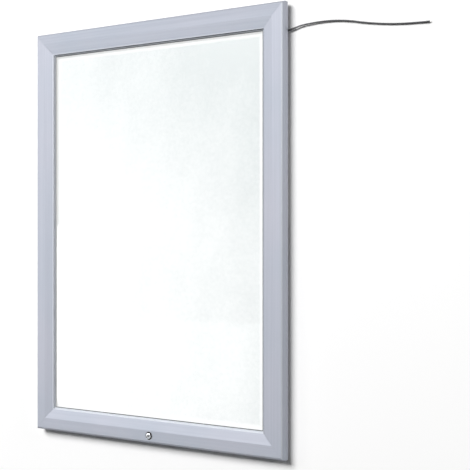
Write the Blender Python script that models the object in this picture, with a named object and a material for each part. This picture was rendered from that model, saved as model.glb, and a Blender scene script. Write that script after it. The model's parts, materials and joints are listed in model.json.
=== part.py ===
# Backlit poster case for a wall, A1 size: an edge-lit panel in a shallow base, behind a
# mitred aluminium door that hangs on a hinge along its top and locks at its bottom rail.
# Metres, +Z up. The front faces -Y and the back lies in the plane of the wall, Y = 0.
# The origin is the middle of the back face.
#
# Most pieces are worked out in two sizes: "inset" is the way in from the outer outline of
# the case, and "lift" is the distance from the wall.

import math

import bmesh
import bpy
from mathutils import Matrix, Vector

# The poster and the frame around it
poster_width = 0.594
poster_height = 0.841
poster_cover = 0.009      # each edge of the poster that the door frame hides
face_width = 0.046        # face of a door rail, from its front outer edge to its lip
edge_flare = 0.0045       # the bevelled outer edge spreads this far beyond the front face
edge_depth = 0.0062       # depth of that bevel
case_depth = 0.025        # wall to front face
door_reach = 0.0173       # front face to the open rear edge of the door

# Clearances
seat_gap = 0.0003         # between pieces that seat on each other
mitre_gap = 0.0001        # each rail end stops this short of its mitre line
overrun = 0.002           # cutters run this far past what they cut

front_width = poster_width - 2 * poster_cover + 2 * face_width
front_height = poster_height - 2 * poster_cover + 2 * face_width
outer_width = front_width + 2 * edge_flare
outer_height = front_height + 2 * edge_flare

# Door rail, an extruded section
rail_wall = 0.0016
band_width = 0.0231       # flat outer band of the face
lip_drop = 0.005          # the inner band slopes back this far to the lip
edge_round = 0.0006       # small radius on the edges of the face
front_edge_round = 0.0015  # and on its front outer edge, which catches the light
chamber_width = 0.0274    # hollow behind the flat band, which takes the corner keys
web_lift = 0.0144         # back of the web that closes the chamber
lip_inset = edge_flare + face_width
door_rear_lift = case_depth - door_reach

# Front sheet and what holds it
sheet_cover = 0.008       # the sheet's edge lies this far behind the lip
sheet_thickness = 0.002
sheet_lift = 0.0125       # back of the sheet
rib_wall = 0.0016
rib_lift = 0.0109         # rear edge of the glazing rib
gasket_reach = 0.0051     # the gasket shows this far beyond the lip
gasket_cover = 0.0055     # and is held this far behind it
gasket_edge = 0.0005      # thickness of its inner edge
gasket_step = 0.0011      # height of its shoulder beside the lip
bead_width = 0.0100
bead_thickness = 0.0012
bead_heel = 0.0006        # the bead is this much thicker along the rib
bead_heel_width = 0.0020
sheet_inset = lip_inset - sheet_cover

# Base rail, a channel with a foot for the back panel
base_inset = 0.0080       # outer face of the base
base_wall = 0.0016
base_floor = 0.0015
base_height = 0.0126
base_channel = 0.0148     # clear width of the channel
base_inner_height = 0.0099
foot_lift = 0.0013
foot_thickness = 0.0012
foot_reach = 0.0100
base_inner_inset = base_inset + base_wall + base_channel
foot_inset = base_inner_inset + base_wall

# Light panel
back_sheet = 0.0010
reflector_thickness = 0.0005
guide_margin = 0.0030     # the light guide is this much larger than the poster on each side
guide_thickness = 0.0060
diffuser_thickness = 0.0015
guide_cover = 0.0040      # the channels and clips hold this much of its edge
reflector_lift = back_sheet + seat_gap
guide_lift = reflector_lift + reflector_thickness + seat_gap
holder_lift = guide_lift + guide_thickness + seat_gap
guide_inset = (outer_width - poster_width) / 2 - guide_margin
holder_tip_inset = guide_inset + guide_cover
diffuser_inset = holder_tip_inset + seat_gap

# Lights along both long sides
holder_wall = 0.0012
holder_base = 0.0010
strip_thickness = 0.0010
strip_height = 0.0050
light_length = 0.0035
light_rise = 0.0010
light_pitch = 0.0200
strip_end = 0.0035        # the strip stops this far short of the guide's corner
holder_end = 0.0075
clip_length = 0.040
clip_place_share = 0.25   # of the poster's width, from the middle

# Hinge along the top
hinge_inset = 0.0046      # axis below the top of the outline
hinge_lift = 0.0100
hinge_length = 0.640
knuckle_count = 17
knuckle_radius = 0.0025
hinge_bore = 0.0011
hinge_pin_radius = 0.0010
leaf_thickness = 0.0007
leaf_notch = 0.0004       # room around the other leaf's knuckles
knuckle_gap = 0.0003
case_leaf_lift = 0.0030   # rear edge of the leaf on the base
hinge_height = outer_height / 2 - hinge_inset

# Track stays, one at each side
stay_length = 0.220       # hinge axis to arm pivot, and arm pivot to sliding pin
door_opening = math.radians(70)
arm_inset = 0.0030
arm_thickness = 0.0016
arm_half_width = 0.0040
stud_radius = 0.0015
stud_clearance = 0.0003
track_inset = 0.0062
track_thickness = 0.0015
track_half_width = 0.0038
track_slot_clearance = 0.0004
track_end = 0.008
pin_end_inset = 0.0073

# Lock in the bottom rail
lock_rise = 0.0122        # centre above the lower edge of the front face
lock_offset = -0.0025     # centre from the middle of the rail
barrel_radius = 0.0083
barrel_end_lift = 0.0110
rim_radius = 0.0094
rim_rise = 0.0012
cup_radius = 0.0076
cup_depth = 0.0046
plug_radius = 0.0060
plug_rise = 0.0026        # the plug's face stands this far in front of the rail
plug_end_lift = 0.0088
boss_radius = 0.0026
key_slot_length = 0.0056
key_slot_width = 0.0017
key_slot_depth = 0.0050
nut_across_flats = 0.0210
nut_thickness = 0.0022
cam_thickness = 0.0014
cam_length = 0.0200
cam_half_width = 0.0040
cam_eye_radius = 0.0055
cam_screw_radius = 0.0036
cam_screw_head = 0.0018
cam_screw_shank = 0.0013
cam_screw_depth = 0.0030

# Strike bridge under which the cam turns
strike_thickness = 0.0012
strike_clear = 0.0003     # room between the turned cam and the bridge
strike_width = 0.0074
strike_leg = 0.0030
strike_left = 0.0090      # inside faces of its legs, from the lock's centre
strike_right = 0.0215
notch_margin = 0.0020

# Base seal, corner pieces and wall screws
seal_width = 0.0014
seal_height = 0.0012
key_leg = 0.060
key_clearance = 0.0006
key_notch = 0.0016
bracket_leg = 0.044
bracket_thickness = 0.0015
bracket_width = 0.0128
bracket_hole = 0.0022
wall_screw_hole = 0.0028
wall_screw_reach = 0.250

# Leads
lead_radius = 0.0015
relief_root_radius = 0.0024
relief_tip_radius = 0.0018
lead_exit_lift = 0.0040
lead_exit_drop = 0.0539   # below the top of the front face
lead_exit_height = front_height / 2 - lead_exit_drop
lead_rest_lift = lead_radius + seat_gap
inner_lead_radius = 0.0010
inner_lead_lift = 0.0047
inner_lead_bend = 0.0060
lead_hole_margin = 0.0004
block_length = 0.030
block_width = 0.0120
block_height = 0.0072
block_drop = 0.0200       # top of the block below the lead's exit
block_round = 0.0010

# Routes of the strain relief and of the lead along the wall after it, chosen by hand: the
# way out from the base's outer face and the rise above the exit
relief_route = [(-0.0018, 0.0000), (0.0045, 0.0006), (0.0115, 0.0018), (0.0180, 0.0033)]
lead_route = [
    (0.0240, 0.0048), (0.0325, 0.0069), (0.0418, 0.0084), (0.0602, 0.0098),
    (0.0783, 0.0105), (0.0974, 0.0103), (0.1236, 0.0083), (0.1506, 0.0041),
    (0.1703, -0.0002), (0.1966, -0.0051), (0.2288, -0.0097), (0.2540, -0.0121),
    (0.2792, -0.0136), (0.2977, -0.0143), (0.3149, -0.0149),
]

circle_steps = 24
small_circle_steps = 14
fillet_steps = 3
lead_steps = 60
relief_steps = 12

# Finishes: colour, roughness, metallic
anodised = ((0.56, 0.58, 0.63), 0.42, 0.85)
mill_aluminium = ((0.62, 0.63, 0.65), 0.35, 0.9)
galvanised = ((0.55, 0.56, 0.57), 0.45, 0.8)
zinc_casting = ((0.45, 0.45, 0.47), 0.5, 0.8)
chrome = ((0.75, 0.75, 0.77), 0.12, 1.0)
stainless = ((0.6, 0.6, 0.6), 0.3, 1.0)
clear_acrylic = ((0.92, 0.94, 0.95), 0.05, 0.0)
opal_acrylic = ((0.95, 0.97, 0.97), 0.4, 0.0)
white_film = ((0.93, 0.93, 0.93), 0.6, 0.0)
grey_rubber = ((0.27, 0.29, 0.31), 0.7, 0.0)
black_rubber = ((0.03, 0.03, 0.03), 0.8, 0.0)
board_white = ((0.85, 0.86, 0.84), 0.5, 0.0)
lead_sheath = ((0.05, 0.05, 0.06), 0.55, 0.0)
block_plastic = ((0.8, 0.8, 0.78), 0.5, 0.0)


def clear_scene():
    for old in list(bpy.data.objects):
        bpy.data.objects.remove(old, do_unlink=True)


def make_material(name, finish):
    colour, roughness, metallic = finish
    material = bpy.data.materials.new(name)
    material.use_nodes = True
    shader = material.node_tree.nodes["Principled BSDF"]
    shader.inputs["Base Color"].default_value = (*colour, 1)
    shader.inputs["Roughness"].default_value = roughness
    shader.inputs["Metallic"].default_value = metallic
    return material


def add_piece(name, bm, finish, smooth=False):
    bmesh.ops.recalc_face_normals(bm, faces=bm.faces)
    mesh = bpy.data.meshes.new(name)
    bm.to_mesh(mesh)
    bm.free()
    if smooth:
        mesh.shade_smooth()
        mesh.set_sharp_from_angle(angle=math.radians(35))
    piece = bpy.data.objects.new(name, mesh)
    bpy.context.collection.objects.link(piece)
    mesh.materials.append(make_material(name + "_finish", finish))
    return piece


def add_axis(name, place):
    axis = bpy.data.objects.new(name, None)
    bpy.context.collection.objects.link(axis)
    axis.location = place
    return axis


# Parent pieces to the empty on their joint's axis, where they stand
def hang_on(axis, pieces):
    bpy.context.view_layer.update()
    for piece in pieces:
        piece.parent = axis
        piece.matrix_parent_inverse = axis.matrix_world.inverted()


def cut(piece, cutter):
    modifier = piece.modifiers.new("cut_" + cutter.name, "BOOLEAN")
    modifier.operation = "DIFFERENCE"
    modifier.object = cutter


def as_cutter(name, bm):
    cutter = add_piece(name, bm, galvanised)
    cutter.hide_render = True
    cutter.display_type = "WIRE"
    return cutter


# Outlines, as lists of (a, b) points

def rectangle(a_from, a_to, b_from, b_to):
    return [(a_from, b_from), (a_to, b_from), (a_to, b_to), (a_from, b_to)]


def arc(centre_a, centre_b, radius, start, end, steps):
    turn = (end - start) / steps
    angles = [start + turn * step for step in range(steps + 1)]
    return [(centre_a + radius * math.cos(t), centre_b + radius * math.sin(t)) for t in angles]


def circle(centre_a, centre_b, radius, steps=circle_steps):
    return arc(centre_a, centre_b, radius, 0, math.tau, steps)[:-1]


# A slot or bar with round ends along a
def round_ended(a_from, a_to, b, half_width, steps=8):
    near = arc(a_from, b, half_width, math.pi / 2, 3 * math.pi / 2, steps)
    far = arc(a_to, b, half_width, -math.pi / 2, math.pi / 2, steps)
    return near + far


# Round off the corners of a closed outline: radii maps a corner's number to its radius
def filleted(outline, radii, steps=fillet_steps):
    result = []
    for number, corner in enumerate(outline):
        if number not in radii:
            result.append(corner)
            continue
        here = Vector(corner)
        to_last = (Vector(outline[number - 1]) - here).normalized()
        to_next = (Vector(outline[(number + 1) % len(outline)]) - here).normalized()
        half_angle = to_last.angle(to_next) / 2
        radius = radii[number]
        start = here + to_last * radius / math.tan(half_angle)
        end = here + to_next * radius / math.tan(half_angle)
        centre = here + (to_last + to_next).normalized() * radius / math.sin(half_angle)
        first_spoke = (start - centre).normalized()
        last_spoke = (end - centre).normalized()
        for step in range(steps + 1):
            spoke = first_spoke.slerp(last_spoke, step / steps)
            result.append(tuple(centre + spoke * radius))
    return result


# The same path moved sideways by a wall's thickness, to the right of its direction
def offset_path(path, distance):
    points = [Vector(point) for point in path]
    legs = [(b - a).normalized() for a, b in zip(points, points[1:])]
    sides = [Vector((leg.y, -leg.x)) for leg in legs]
    result = [points[0] + sides[0] * distance]
    for number in range(1, len(points) - 1):
        bisector = (sides[number - 1] + sides[number]).normalized()
        result.append(points[number] + bisector * distance / bisector.dot(sides[number]))
    result.append(points[-1] + sides[-1] * distance)
    return result


# The b value of the straight line from start to end at a
def line_at(start, end, a):
    share = (a - start[0]) / (end[0] - start[0])
    return start[1] + (end[1] - start[1]) * share


# Solids

# Sweep outlines, the first with any holes after it, through stations. Each station turns
# an outline's (a, b) into a place. A closed sweep is a ring; an open one has flat ends.
def sweep(outlines, stations, closed=False):
    bm = bmesh.new()
    ends = ([], [])
    for outline in outlines:
        rings = [[bm.verts.new(station(a, b)) for a, b in outline] for station in stations]
        count = len(outline)
        pairs = list(zip(rings, rings[1:]))
        if closed:
            pairs.append((rings[-1], rings[0]))
        for near, far in pairs:
            for i in range(count):
                j = (i + 1) % count
                bm.faces.new((near[i], near[j], far[j], far[i]))
        for end, ring in zip(ends, (rings[0], rings[-1])):
            end += [bm.edges.get((ring[i], ring[(i + 1) % count])) for i in range(count)]
    if closed:
        return bm
    if len(outlines) > 1:
        for end in ends:
            bmesh.ops.triangle_fill(bm, edges=end, use_beauty=True)
    else:
        bm.faces.new(rings[0])
        bm.faces.new(rings[-1])
    return bm


# A flat plate seen from the front: outlines in x and z
def front_plate(outlines, lift_from, lift_to):
    return sweep(outlines, [
        lambda x, z: Vector((x, -lift_from, z)),
        lambda x, z: Vector((x, -lift_to, z)),
    ])


# A centred sheet whose edges lie at one inset from the outline of the case
def centred_sheet(inset, lift_from, lift_to):
    half_width = outer_width / 2 - inset
    half_height = outer_height / 2 - inset
    outline = rectangle(-half_width, half_width, -half_height, half_height)
    return front_plate([outline], lift_from, lift_to)


def box(x_from, x_to, lift_from, lift_to, z_from, z_to):
    return front_plate([rectangle(x_from, x_to, z_from, z_to)], lift_from, lift_to)


# A turned solid around Z, from a closed profile of (radius, height) points, then moved
def turned(profile, matrix, steps=circle_steps):
    bm = bmesh.new()
    ring = [bm.verts.new((radius, 0, height)) for radius, height in profile]
    edges = [bm.edges.new((a, b)) for a, b in zip(ring, ring[1:])]
    if profile[0][0] > 0:
        edges.append(bm.edges.new((ring[-1], ring[0])))
    bmesh.ops.spin(
        bm, geom=ring + edges, cent=(0, 0, 0), axis=(0, 0, 1),
        angle=math.tau, steps=steps, use_merge=True,
    )
    bmesh.ops.remove_doubles(bm, verts=bm.verts, dist=overrun / 1000)
    bm.transform(matrix)
    return bm


def towards_front(x, z):
    return Matrix.Translation((x, 0, z)) @ Matrix.Rotation(math.pi / 2, 4, "X")


# side is -1 at the left and 1 at the right: turns a height along Z into an inset
def inwards(side, lift, z):
    place = Matrix.Translation((side * outer_width / 2, -lift, z))
    return place @ Matrix.Rotation(-side * math.pi / 2, 4, "Y")


# The four rails of a frame have the same section and mitred ends. Each is modelled as
# the bottom one and turned about Y.
rail_places = {
    "bottom": (0, outer_width / 2, outer_height / 2),
    "top": (math.pi, outer_width / 2, outer_height / 2),
    "right": (-math.pi / 2, outer_height / 2, outer_width / 2),
    "left": (math.pi / 2, outer_height / 2, outer_width / 2),
}


def mitred_rails(name, outlines, finish):
    rails = {}
    for side, (turn, half_run, half_across) in rail_places.items():
        def end(direction, half_run=half_run, half_across=half_across):
            return lambda inset, lift: Vector((
                direction * (half_run - inset - mitre_gap), -lift, inset - half_across))
        rail = add_piece(name + "_" + side, sweep(outlines, [end(-1), end(1)]), finish)
        rail.rotation_euler = (0, turn, 0)
        rails[side] = rail
    return rails


# A ring that follows the outline of the case, with square corners
def frame_ring(outline):
    def corner(side, rise):
        return lambda inset, lift: Vector((
            side * (outer_width / 2 - inset), -lift, rise * (outer_height / 2 - inset)))
    corners = [corner(-1, -1), corner(1, -1), corner(1, 1), corner(-1, 1)]
    return sweep([outline], corners, closed=True)


# A round bar along a smooth path; radii can change from point to point
def round_bar(name, points, radii, finish, resolution=2):
    curve = bpy.data.curves.new(name, "CURVE")
    curve.dimensions = "3D"
    curve.bevel_depth = 1
    curve.bevel_resolution = resolution
    curve.use_fill_caps = True
    spline = curve.splines.new("POLY")
    spline.points.add(len(points) - 1)
    for target, place, radius in zip(spline.points, points, radii):
        target.co = (*place, 1)
        target.radius = radius
    bar = bpy.data.objects.new(name, curve)
    bpy.context.collection.objects.link(bar)
    curve.materials.append(make_material(name + "_finish", finish))
    return bar


# Points spread evenly along a smooth curve through the route's own points
def smooth_route(route, steps):
    places = [Vector(place) for place in route]
    places = [2 * places[0] - places[1]] + places + [2 * places[-1] - places[-2]]
    result = []
    spans = len(places) - 3
    for step in range(steps + 1):
        position = step / steps * spans
        span = min(int(position), spans - 1)
        t = position - span
        a, b, c, d = places[span:span + 4]
        result.append(0.5 * (
            2 * b + (c - a) * t + (2 * a - 5 * b + 4 * c - d) * t ** 2
            + (3 * b - a - 3 * c + d) * t ** 3))
    return result


# A path along straight runs with round bends
def bent_route(corners, bend, steps=4):
    places = [Vector(place) for place in corners]
    result = [places[0]]
    for last, here, following in zip(places, places[1:], places[2:]):
        to_last = (last - here).normalized()
        to_next = (following - here).normalized()
        for step in range(steps + 1):
            t = step / steps
            start = here + to_last * bend
            end = here + to_next * bend
            result.append((1 - t) ** 2 * start + 2 * t * (1 - t) * here + t ** 2 * end)
    result.append(places[-1])
    return result


# Door frame

def door_rail_outlines():
    shoulder_lift = case_depth - edge_depth
    face = [
        (0, door_rear_lift),
        (0, shoulder_lift),
        (edge_flare, case_depth),
        (edge_flare + band_width, case_depth),
        (lip_inset, case_depth - lip_drop),
    ]
    back = offset_path(face, rail_wall)
    rib_front = sheet_inset - seat_gap
    rib_rear = rib_front - rib_wall
    chamber_inset = rail_wall + chamber_width
    chamber_wall = chamber_inset + rail_wall

    def back_at(inset):
        return line_at(back[3], back[4], inset)

    section = face + [
        tuple(back[4]),
        (rib_front, back_at(rib_front)),
        (rib_front, rib_lift),
        (rib_rear, rib_lift),
        (rib_rear, back_at(rib_rear)),
        (chamber_wall, back_at(chamber_wall)),
        (chamber_wall, web_lift),
        (rail_wall, web_lift),
        (rail_wall, door_rear_lift),
    ]
    rounded = {1: edge_round, 2: front_edge_round, 3: edge_round, 4: edge_round}
    chamber = [
        (rail_wall, web_lift + rail_wall),
        tuple(back[1]),
        tuple(back[2]),
        tuple(back[3]),
        (chamber_inset, back_at(chamber_inset)),
        (chamber_inset, web_lift + rail_wall),
    ]
    return [filleted(section, rounded), chamber]


# An L-shaped key in the chamber of two rails, with shallow notches that grip the walls
def corner_keys():
    face_inset = edge_flare + key_clearance
    end_inset = rail_wall + chamber_width - key_clearance
    lift_from = web_lift + rail_wall + seat_gap
    lift_to = case_depth - rail_wall - key_clearance
    keys = []
    for column, column_name in ((-1, "left"), (1, "right")):
        for row, row_name in ((-1, "bottom"), (1, "top")):
            leg_end = face_inset + key_leg
            notch_pitch = key_leg / 6
            outline = [(face_inset, face_inset), (leg_end, face_inset), (leg_end, end_inset)]
            for tooth in range(2):
                a = leg_end - notch_pitch * (tooth + 1)
                outline += [
                    (a + key_notch, end_inset),
                    (a, end_inset - key_notch),
                    (a - key_notch, end_inset),
                ]
            mirror = [(b, a) for a, b in reversed(outline[1:])]
            outline = outline + [(end_inset, end_inset)] + mirror
            hole_place = leg_end - notch_pitch
            middle = (face_inset + end_inset) / 2
            holes = [
                circle(hole_place, middle, bracket_hole, small_circle_steps),
                circle(middle, hole_place, bracket_hole, small_circle_steps),
            ]
            placed = [
                [(column * (outer_width / 2 - a), row * (outer_height / 2 - b)) for a, b in loop]
                for loop in [outline] + holes
            ]
            name = "door_corner_key_" + row_name + "_" + column_name
            keys.append(add_piece(name, front_plate(placed, lift_from, lift_to), zinc_casting))
    return keys


def front_sheet():
    bm = centred_sheet(sheet_inset, sheet_lift, sheet_lift + sheet_thickness)
    return add_piece("front_sheet", bm, clear_acrylic)


# A wedge of rubber between the lip and the sheet, which shows as a line around the opening
def glazing_gasket():
    under = sheet_lift + sheet_thickness + seat_gap
    lip_back = case_depth - lip_drop - rail_wall - seat_gap
    tip = lip_inset + gasket_reach
    outline = [
        (lip_inset - gasket_cover, under),
        (tip, under),
        (tip, under + gasket_edge),
        (lip_inset + gasket_edge, lip_back - gasket_step),
        (lip_inset, lip_back),
        (lip_inset - gasket_cover, lip_back),
    ]
    return add_piece("glazing_gasket", frame_ring(outline), grey_rubber)


def glazing_beads():
    top = sheet_lift - seat_gap
    thin = top - bead_thickness
    outline = [
        (sheet_inset, thin - bead_heel),
        (sheet_inset + bead_heel_width, thin - bead_heel),
        (sheet_inset + bead_width, thin + bead_heel),
        (sheet_inset + bead_width, top),
        (sheet_inset, top),
    ]
    return mitred_rails("glazing_bead", [outline], mill_aluminium)


# Base

def base_rail_outlines():
    outer = base_inset + base_wall
    section = [
        (base_inset, 0),
        (foot_inset, 0),
        (foot_inset, foot_lift),
        (foot_inset + foot_reach, foot_lift),
        (foot_inset + foot_reach, foot_lift + foot_thickness),
        (foot_inset, foot_lift + foot_thickness),
        (foot_inset, base_inner_height),
        (base_inner_inset, base_inner_height),
        (base_inner_inset, base_floor),
        (outer, base_floor),
        (outer, base_height),
        (base_inset, base_height),
    ]
    return [section]


def base_brackets():
    near = base_inset + base_wall + (base_channel - bracket_width) / 2
    far = near + bracket_width
    end = near + bracket_leg
    outline = filleted(
        [(near, near), (end, near), (end, far), (far, far), (far, end), (near, end)],
        {1: bracket_width / 4, 2: bracket_width / 4, 4: bracket_width / 4, 5: bracket_width / 4},
    )
    middle = (near + far) / 2
    hole_end = end - bracket_width
    holes = [
        circle(hole_end, middle, bracket_hole, small_circle_steps),
        circle(middle, hole_end, bracket_hole, small_circle_steps),
    ]
    brackets = []
    for column, column_name in ((-1, "left"), (1, "right")):
        for row, row_name in ((-1, "bottom"), (1, "top")):
            placed = [
                [(column * (outer_width / 2 - a), row * (outer_height / 2 - b)) for a, b in loop]
                for loop in [outline] + holes
            ]
            lift = base_floor + seat_gap
            bm = front_plate(placed, lift, lift + bracket_thickness)
            brackets.append(add_piece("base_bracket_" + row_name + "_" + column_name, bm, galvanised))
    return brackets


def base_seal():
    lift = base_height + seat_gap
    middle = base_inset + base_wall / 2
    side = seal_width / 2
    outline = [(middle - side, lift), (middle + side, lift)]
    outline += arc(middle, lift + seal_height - side, side, 0, math.pi, fillet_steps * 2)
    return add_piece("base_seal", frame_ring(outline), black_rubber, smooth=True)


def light_panel():
    sheets = [
        ("back_panel", foot_inset + seat_gap, 0, back_sheet, galvanised),
        ("reflector_sheet", guide_inset, reflector_lift, reflector_lift + reflector_thickness,
         white_film),
        ("light_guide", guide_inset, guide_lift, guide_lift + guide_thickness, clear_acrylic),
        ("diffuser_sheet", diffuser_inset, holder_lift, holder_lift + diffuser_thickness,
         opal_acrylic),
    ]
    for name, inset, lift_from, lift_to, finish in sheets:
        add_piece(name, centred_sheet(inset, lift_from, lift_to), finish)


# The section of a holder that stands on the foot and hooks over the light guide's edge
def holder_outline(wall_face):
    lift = foot_lift + foot_thickness + seat_gap
    return [
        (foot_inset + seat_gap, lift),
        (wall_face, lift),
        (wall_face, holder_lift),
        (holder_tip_inset, holder_lift),
        (holder_tip_inset, holder_lift + holder_wall),
        (wall_face - holder_wall, holder_lift + holder_wall),
        (wall_face - holder_wall, lift + holder_base),
        (foot_inset + seat_gap, lift + holder_base),
    ]


# Light strips on edge against the long sides of the light guide, each in its channel
def side_lights():
    light_face = guide_inset - seat_gap
    board_face = light_face - light_rise
    board_back = board_face - strip_thickness
    channel = holder_outline(board_back - seat_gap)
    channel_half = poster_height / 2 + guide_margin - holder_end
    strip_half = poster_height / 2 + guide_margin - strip_end
    lift = foot_lift + foot_thickness + seat_gap
    count = int(2 * (strip_half - light_length) / light_pitch)
    comb = [(-strip_half, board_back), (-strip_half, board_face)]
    for number in range(count):
        middle = (number - (count - 1) / 2) * light_pitch
        comb += [
            (middle - light_length / 2, board_face),
            (middle - light_length / 2, light_face),
            (middle + light_length / 2, light_face),
            (middle + light_length / 2, board_face),
        ]
    comb += [(strip_half, board_face), (strip_half, board_back)]
    for side, side_name in ((-1, "left"), (1, "right")):
        placed = [(side * (outer_width / 2 - inset), z) for z, inset in comb]
        bm = front_plate([placed], lift, lift + strip_height)
        add_piece("led_strip_" + side_name, bm, board_white)

        def end(z, side=side):
            return lambda inset, lift: Vector((side * (outer_width / 2 - inset), -lift, z))
        bm = sweep([channel], [end(-channel_half), end(channel_half)])
        add_piece("led_channel_" + side_name, bm, mill_aluminium)


# Short clips of the same kind along the top and the bottom
def panel_clips():
    outline = holder_outline(guide_inset - seat_gap)
    for row, row_name in ((-1, "bottom"), (1, "top")):
        for column, column_name in ((-1, "left"), (1, "right")):
            middle = column * poster_width * clip_place_share

            def end(x, row=row):
                return lambda inset, lift: Vector((x, -lift, row * (outer_height / 2 - inset)))
            ends = [end(middle - clip_length / 2), end(middle + clip_length / 2)]
            name = "panel_clip_" + row_name + "_" + column_name
            add_piece(name, sweep([outline], ends), galvanised)


# Hinge

# A leaf's section around the axis, in (forward, up): a knuckle that stands on a flat leaf.
# top and bottom are the faces of the leaf and tail is its free edge. Turned half around,
# the same section serves the leaf on the door.
def leaf_outlines(top, bottom, tail):
    half_chord = math.sqrt(knuckle_radius ** 2 - top ** 2)
    start = math.atan2(top, half_chord)
    end = math.pi - start
    knuckle = arc(0, 0, knuckle_radius, start, end, circle_steps)
    outline = [(tail, bottom), (half_chord, bottom)] + knuckle + [(tail, top)]
    return [outline, circle(0, 0, hinge_bore, small_circle_steps)]


def leaf_solid(outlines, flip):
    def end(x):
        return lambda forward, up: Vector((
            x, -(hinge_lift + flip * forward), hinge_height + flip * up))
    return sweep(outlines, [end(-hinge_length / 2), end(hinge_length / 2)])


# One box for each knuckle of the other leaf
def knuckle_cutter(name, first, forward_from, forward_to):
    pitch = hinge_length / knuckle_count
    bm = bmesh.new()
    tall = outer_height / 2 - hinge_height + overrun
    for number in range(first, knuckle_count, 2):
        x_from = -hinge_length / 2 + pitch * number - knuckle_gap / 2
        x_to = x_from + pitch + knuckle_gap
        if number == 0:
            x_from -= overrun
        if number == knuckle_count - 1:
            x_to += overrun
        size = Vector((x_to - x_from, forward_to - forward_from, 2 * tall))
        middle = Vector((
            (x_from + x_to) / 2,
            -(hinge_lift + (forward_from + forward_to) / 2),
            hinge_height,
        ))
        matrix = Matrix.Translation(middle) @ Matrix.Diagonal((*size, 1))
        bmesh.ops.create_cube(bm, size=1, matrix=matrix)
    return as_cutter(name, bm)


def hinge():
    base_face = outer_height / 2 - base_inset - hinge_height
    case_bottom = base_face + seat_gap
    case_leaf = leaf_outlines(case_bottom + leaf_thickness, case_bottom, case_leaf_lift - hinge_lift)
    on_case = add_piece("hinge_leaf_case", leaf_solid(case_leaf, 1), stainless, smooth=True)
    reach = knuckle_radius + leaf_notch
    wide = case_depth
    cut(on_case, knuckle_cutter("case_leaf_cutter", 1, -reach, wide))

    # the leaf on the door lies against the top rail's outer wall
    wall_face = hinge_inset - rail_wall - seat_gap
    door_top = -(wall_face - leaf_thickness)
    door_tail = -(web_lift - seat_gap - hinge_lift)
    door_leaf = leaf_outlines(door_top, -wall_face, door_tail)
    on_door = add_piece("hinge_leaf_door", leaf_solid(door_leaf, -1), stainless, smooth=True)
    cut(on_door, knuckle_cutter("door_leaf_cutter", 0, -wide, reach))

    def end(x):
        return lambda forward, up: Vector((x, -(hinge_lift + forward), hinge_height + up))
    pin = [circle(0, 0, hinge_pin_radius, small_circle_steps)]
    bm = sweep(pin, [end(-hinge_length / 2), end(hinge_length / 2)])
    add_piece("hinge_pin", bm, stainless, smooth=True)
    return [on_door]


# Stays

# With the arm as long as the way from the hinge axis to the arm's pivot, the free end of
# the arm runs straight down the track, and the arm turns twice as far as the door.
def stays(door_axis):
    pivot_height = hinge_height - stay_length
    pin_height = hinge_height - 2 * stay_length
    open_height = hinge_height - 2 * stay_length * math.cos(door_opening)
    hole = stud_radius + stud_clearance
    slot = stud_radius + track_slot_clearance
    arm_end_inset = arm_inset + arm_thickness
    rivets = []
    for side, side_name in ((-1, "left"), (1, "right")):
        def at(inset, side=side):
            return lambda z, lift: Vector((side * (outer_width / 2 - inset), -lift, z))
        track = [
            rectangle(pin_height - track_end, open_height + track_end,
                      hinge_lift - track_half_width, hinge_lift + track_half_width),
            round_ended(pin_height, open_height, hinge_lift, slot),
        ]
        bm = sweep(track, [at(track_inset), at(track_inset + track_thickness)])
        add_piece("stay_track_" + side_name, bm, galvanised)

        arm = [
            round_ended(pin_height, pivot_height, hinge_lift, arm_half_width),
            circle(pin_height, hinge_lift, hole, small_circle_steps),
            circle(pivot_height, hinge_lift, hole, small_circle_steps),
        ]
        bm = sweep(arm, [at(arm_inset), at(arm_end_inset)])
        arm_piece = add_piece("stay_arm_" + side_name, bm, stainless)

        flange = rail_wall + seat_gap
        collar = arm_end_inset + seat_gap
        head = collar + arm_thickness / 2
        rivet = [
            (0, flange),
            (arm_half_width, flange),
            (arm_half_width, arm_inset - seat_gap),
            (stud_radius, arm_inset - seat_gap),
            (stud_radius, collar),
            (stud_radius + hole / 2, collar),
            (stud_radius + hole / 2, head),
            (0, head),
        ]
        bm = turned(rivet, inwards(side, hinge_lift, pivot_height), small_circle_steps)
        rivets.append(add_piece("stay_rivet_" + side_name, bm, stainless, smooth=True))

        pin = [
            (0, flange),
            (stud_radius + hole / 2, flange),
            (stud_radius + hole / 2, arm_inset - seat_gap),
            (stud_radius, arm_inset - seat_gap),
            (stud_radius, collar),
            (stud_radius + hole / 2, collar),
            (stud_radius + hole / 2, head),
            (stud_radius, head),
            (stud_radius, pin_end_inset),
            (0, pin_end_inset),
        ]
        bm = turned(pin, inwards(side, hinge_lift, pin_height), small_circle_steps)
        pin_piece = add_piece("stay_pin_" + side_name, bm, stainless, smooth=True)

        stay_axis = add_axis("stay_axis_" + side_name, at(arm_inset)(pivot_height, hinge_lift))
        hang_on(stay_axis, [arm_piece, pin_piece])
        hang_on(door_axis, [stay_axis])
    return rivets


# Lock

def lock_place():
    return lock_offset, -outer_height / 2 + edge_flare + lock_rise


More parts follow.
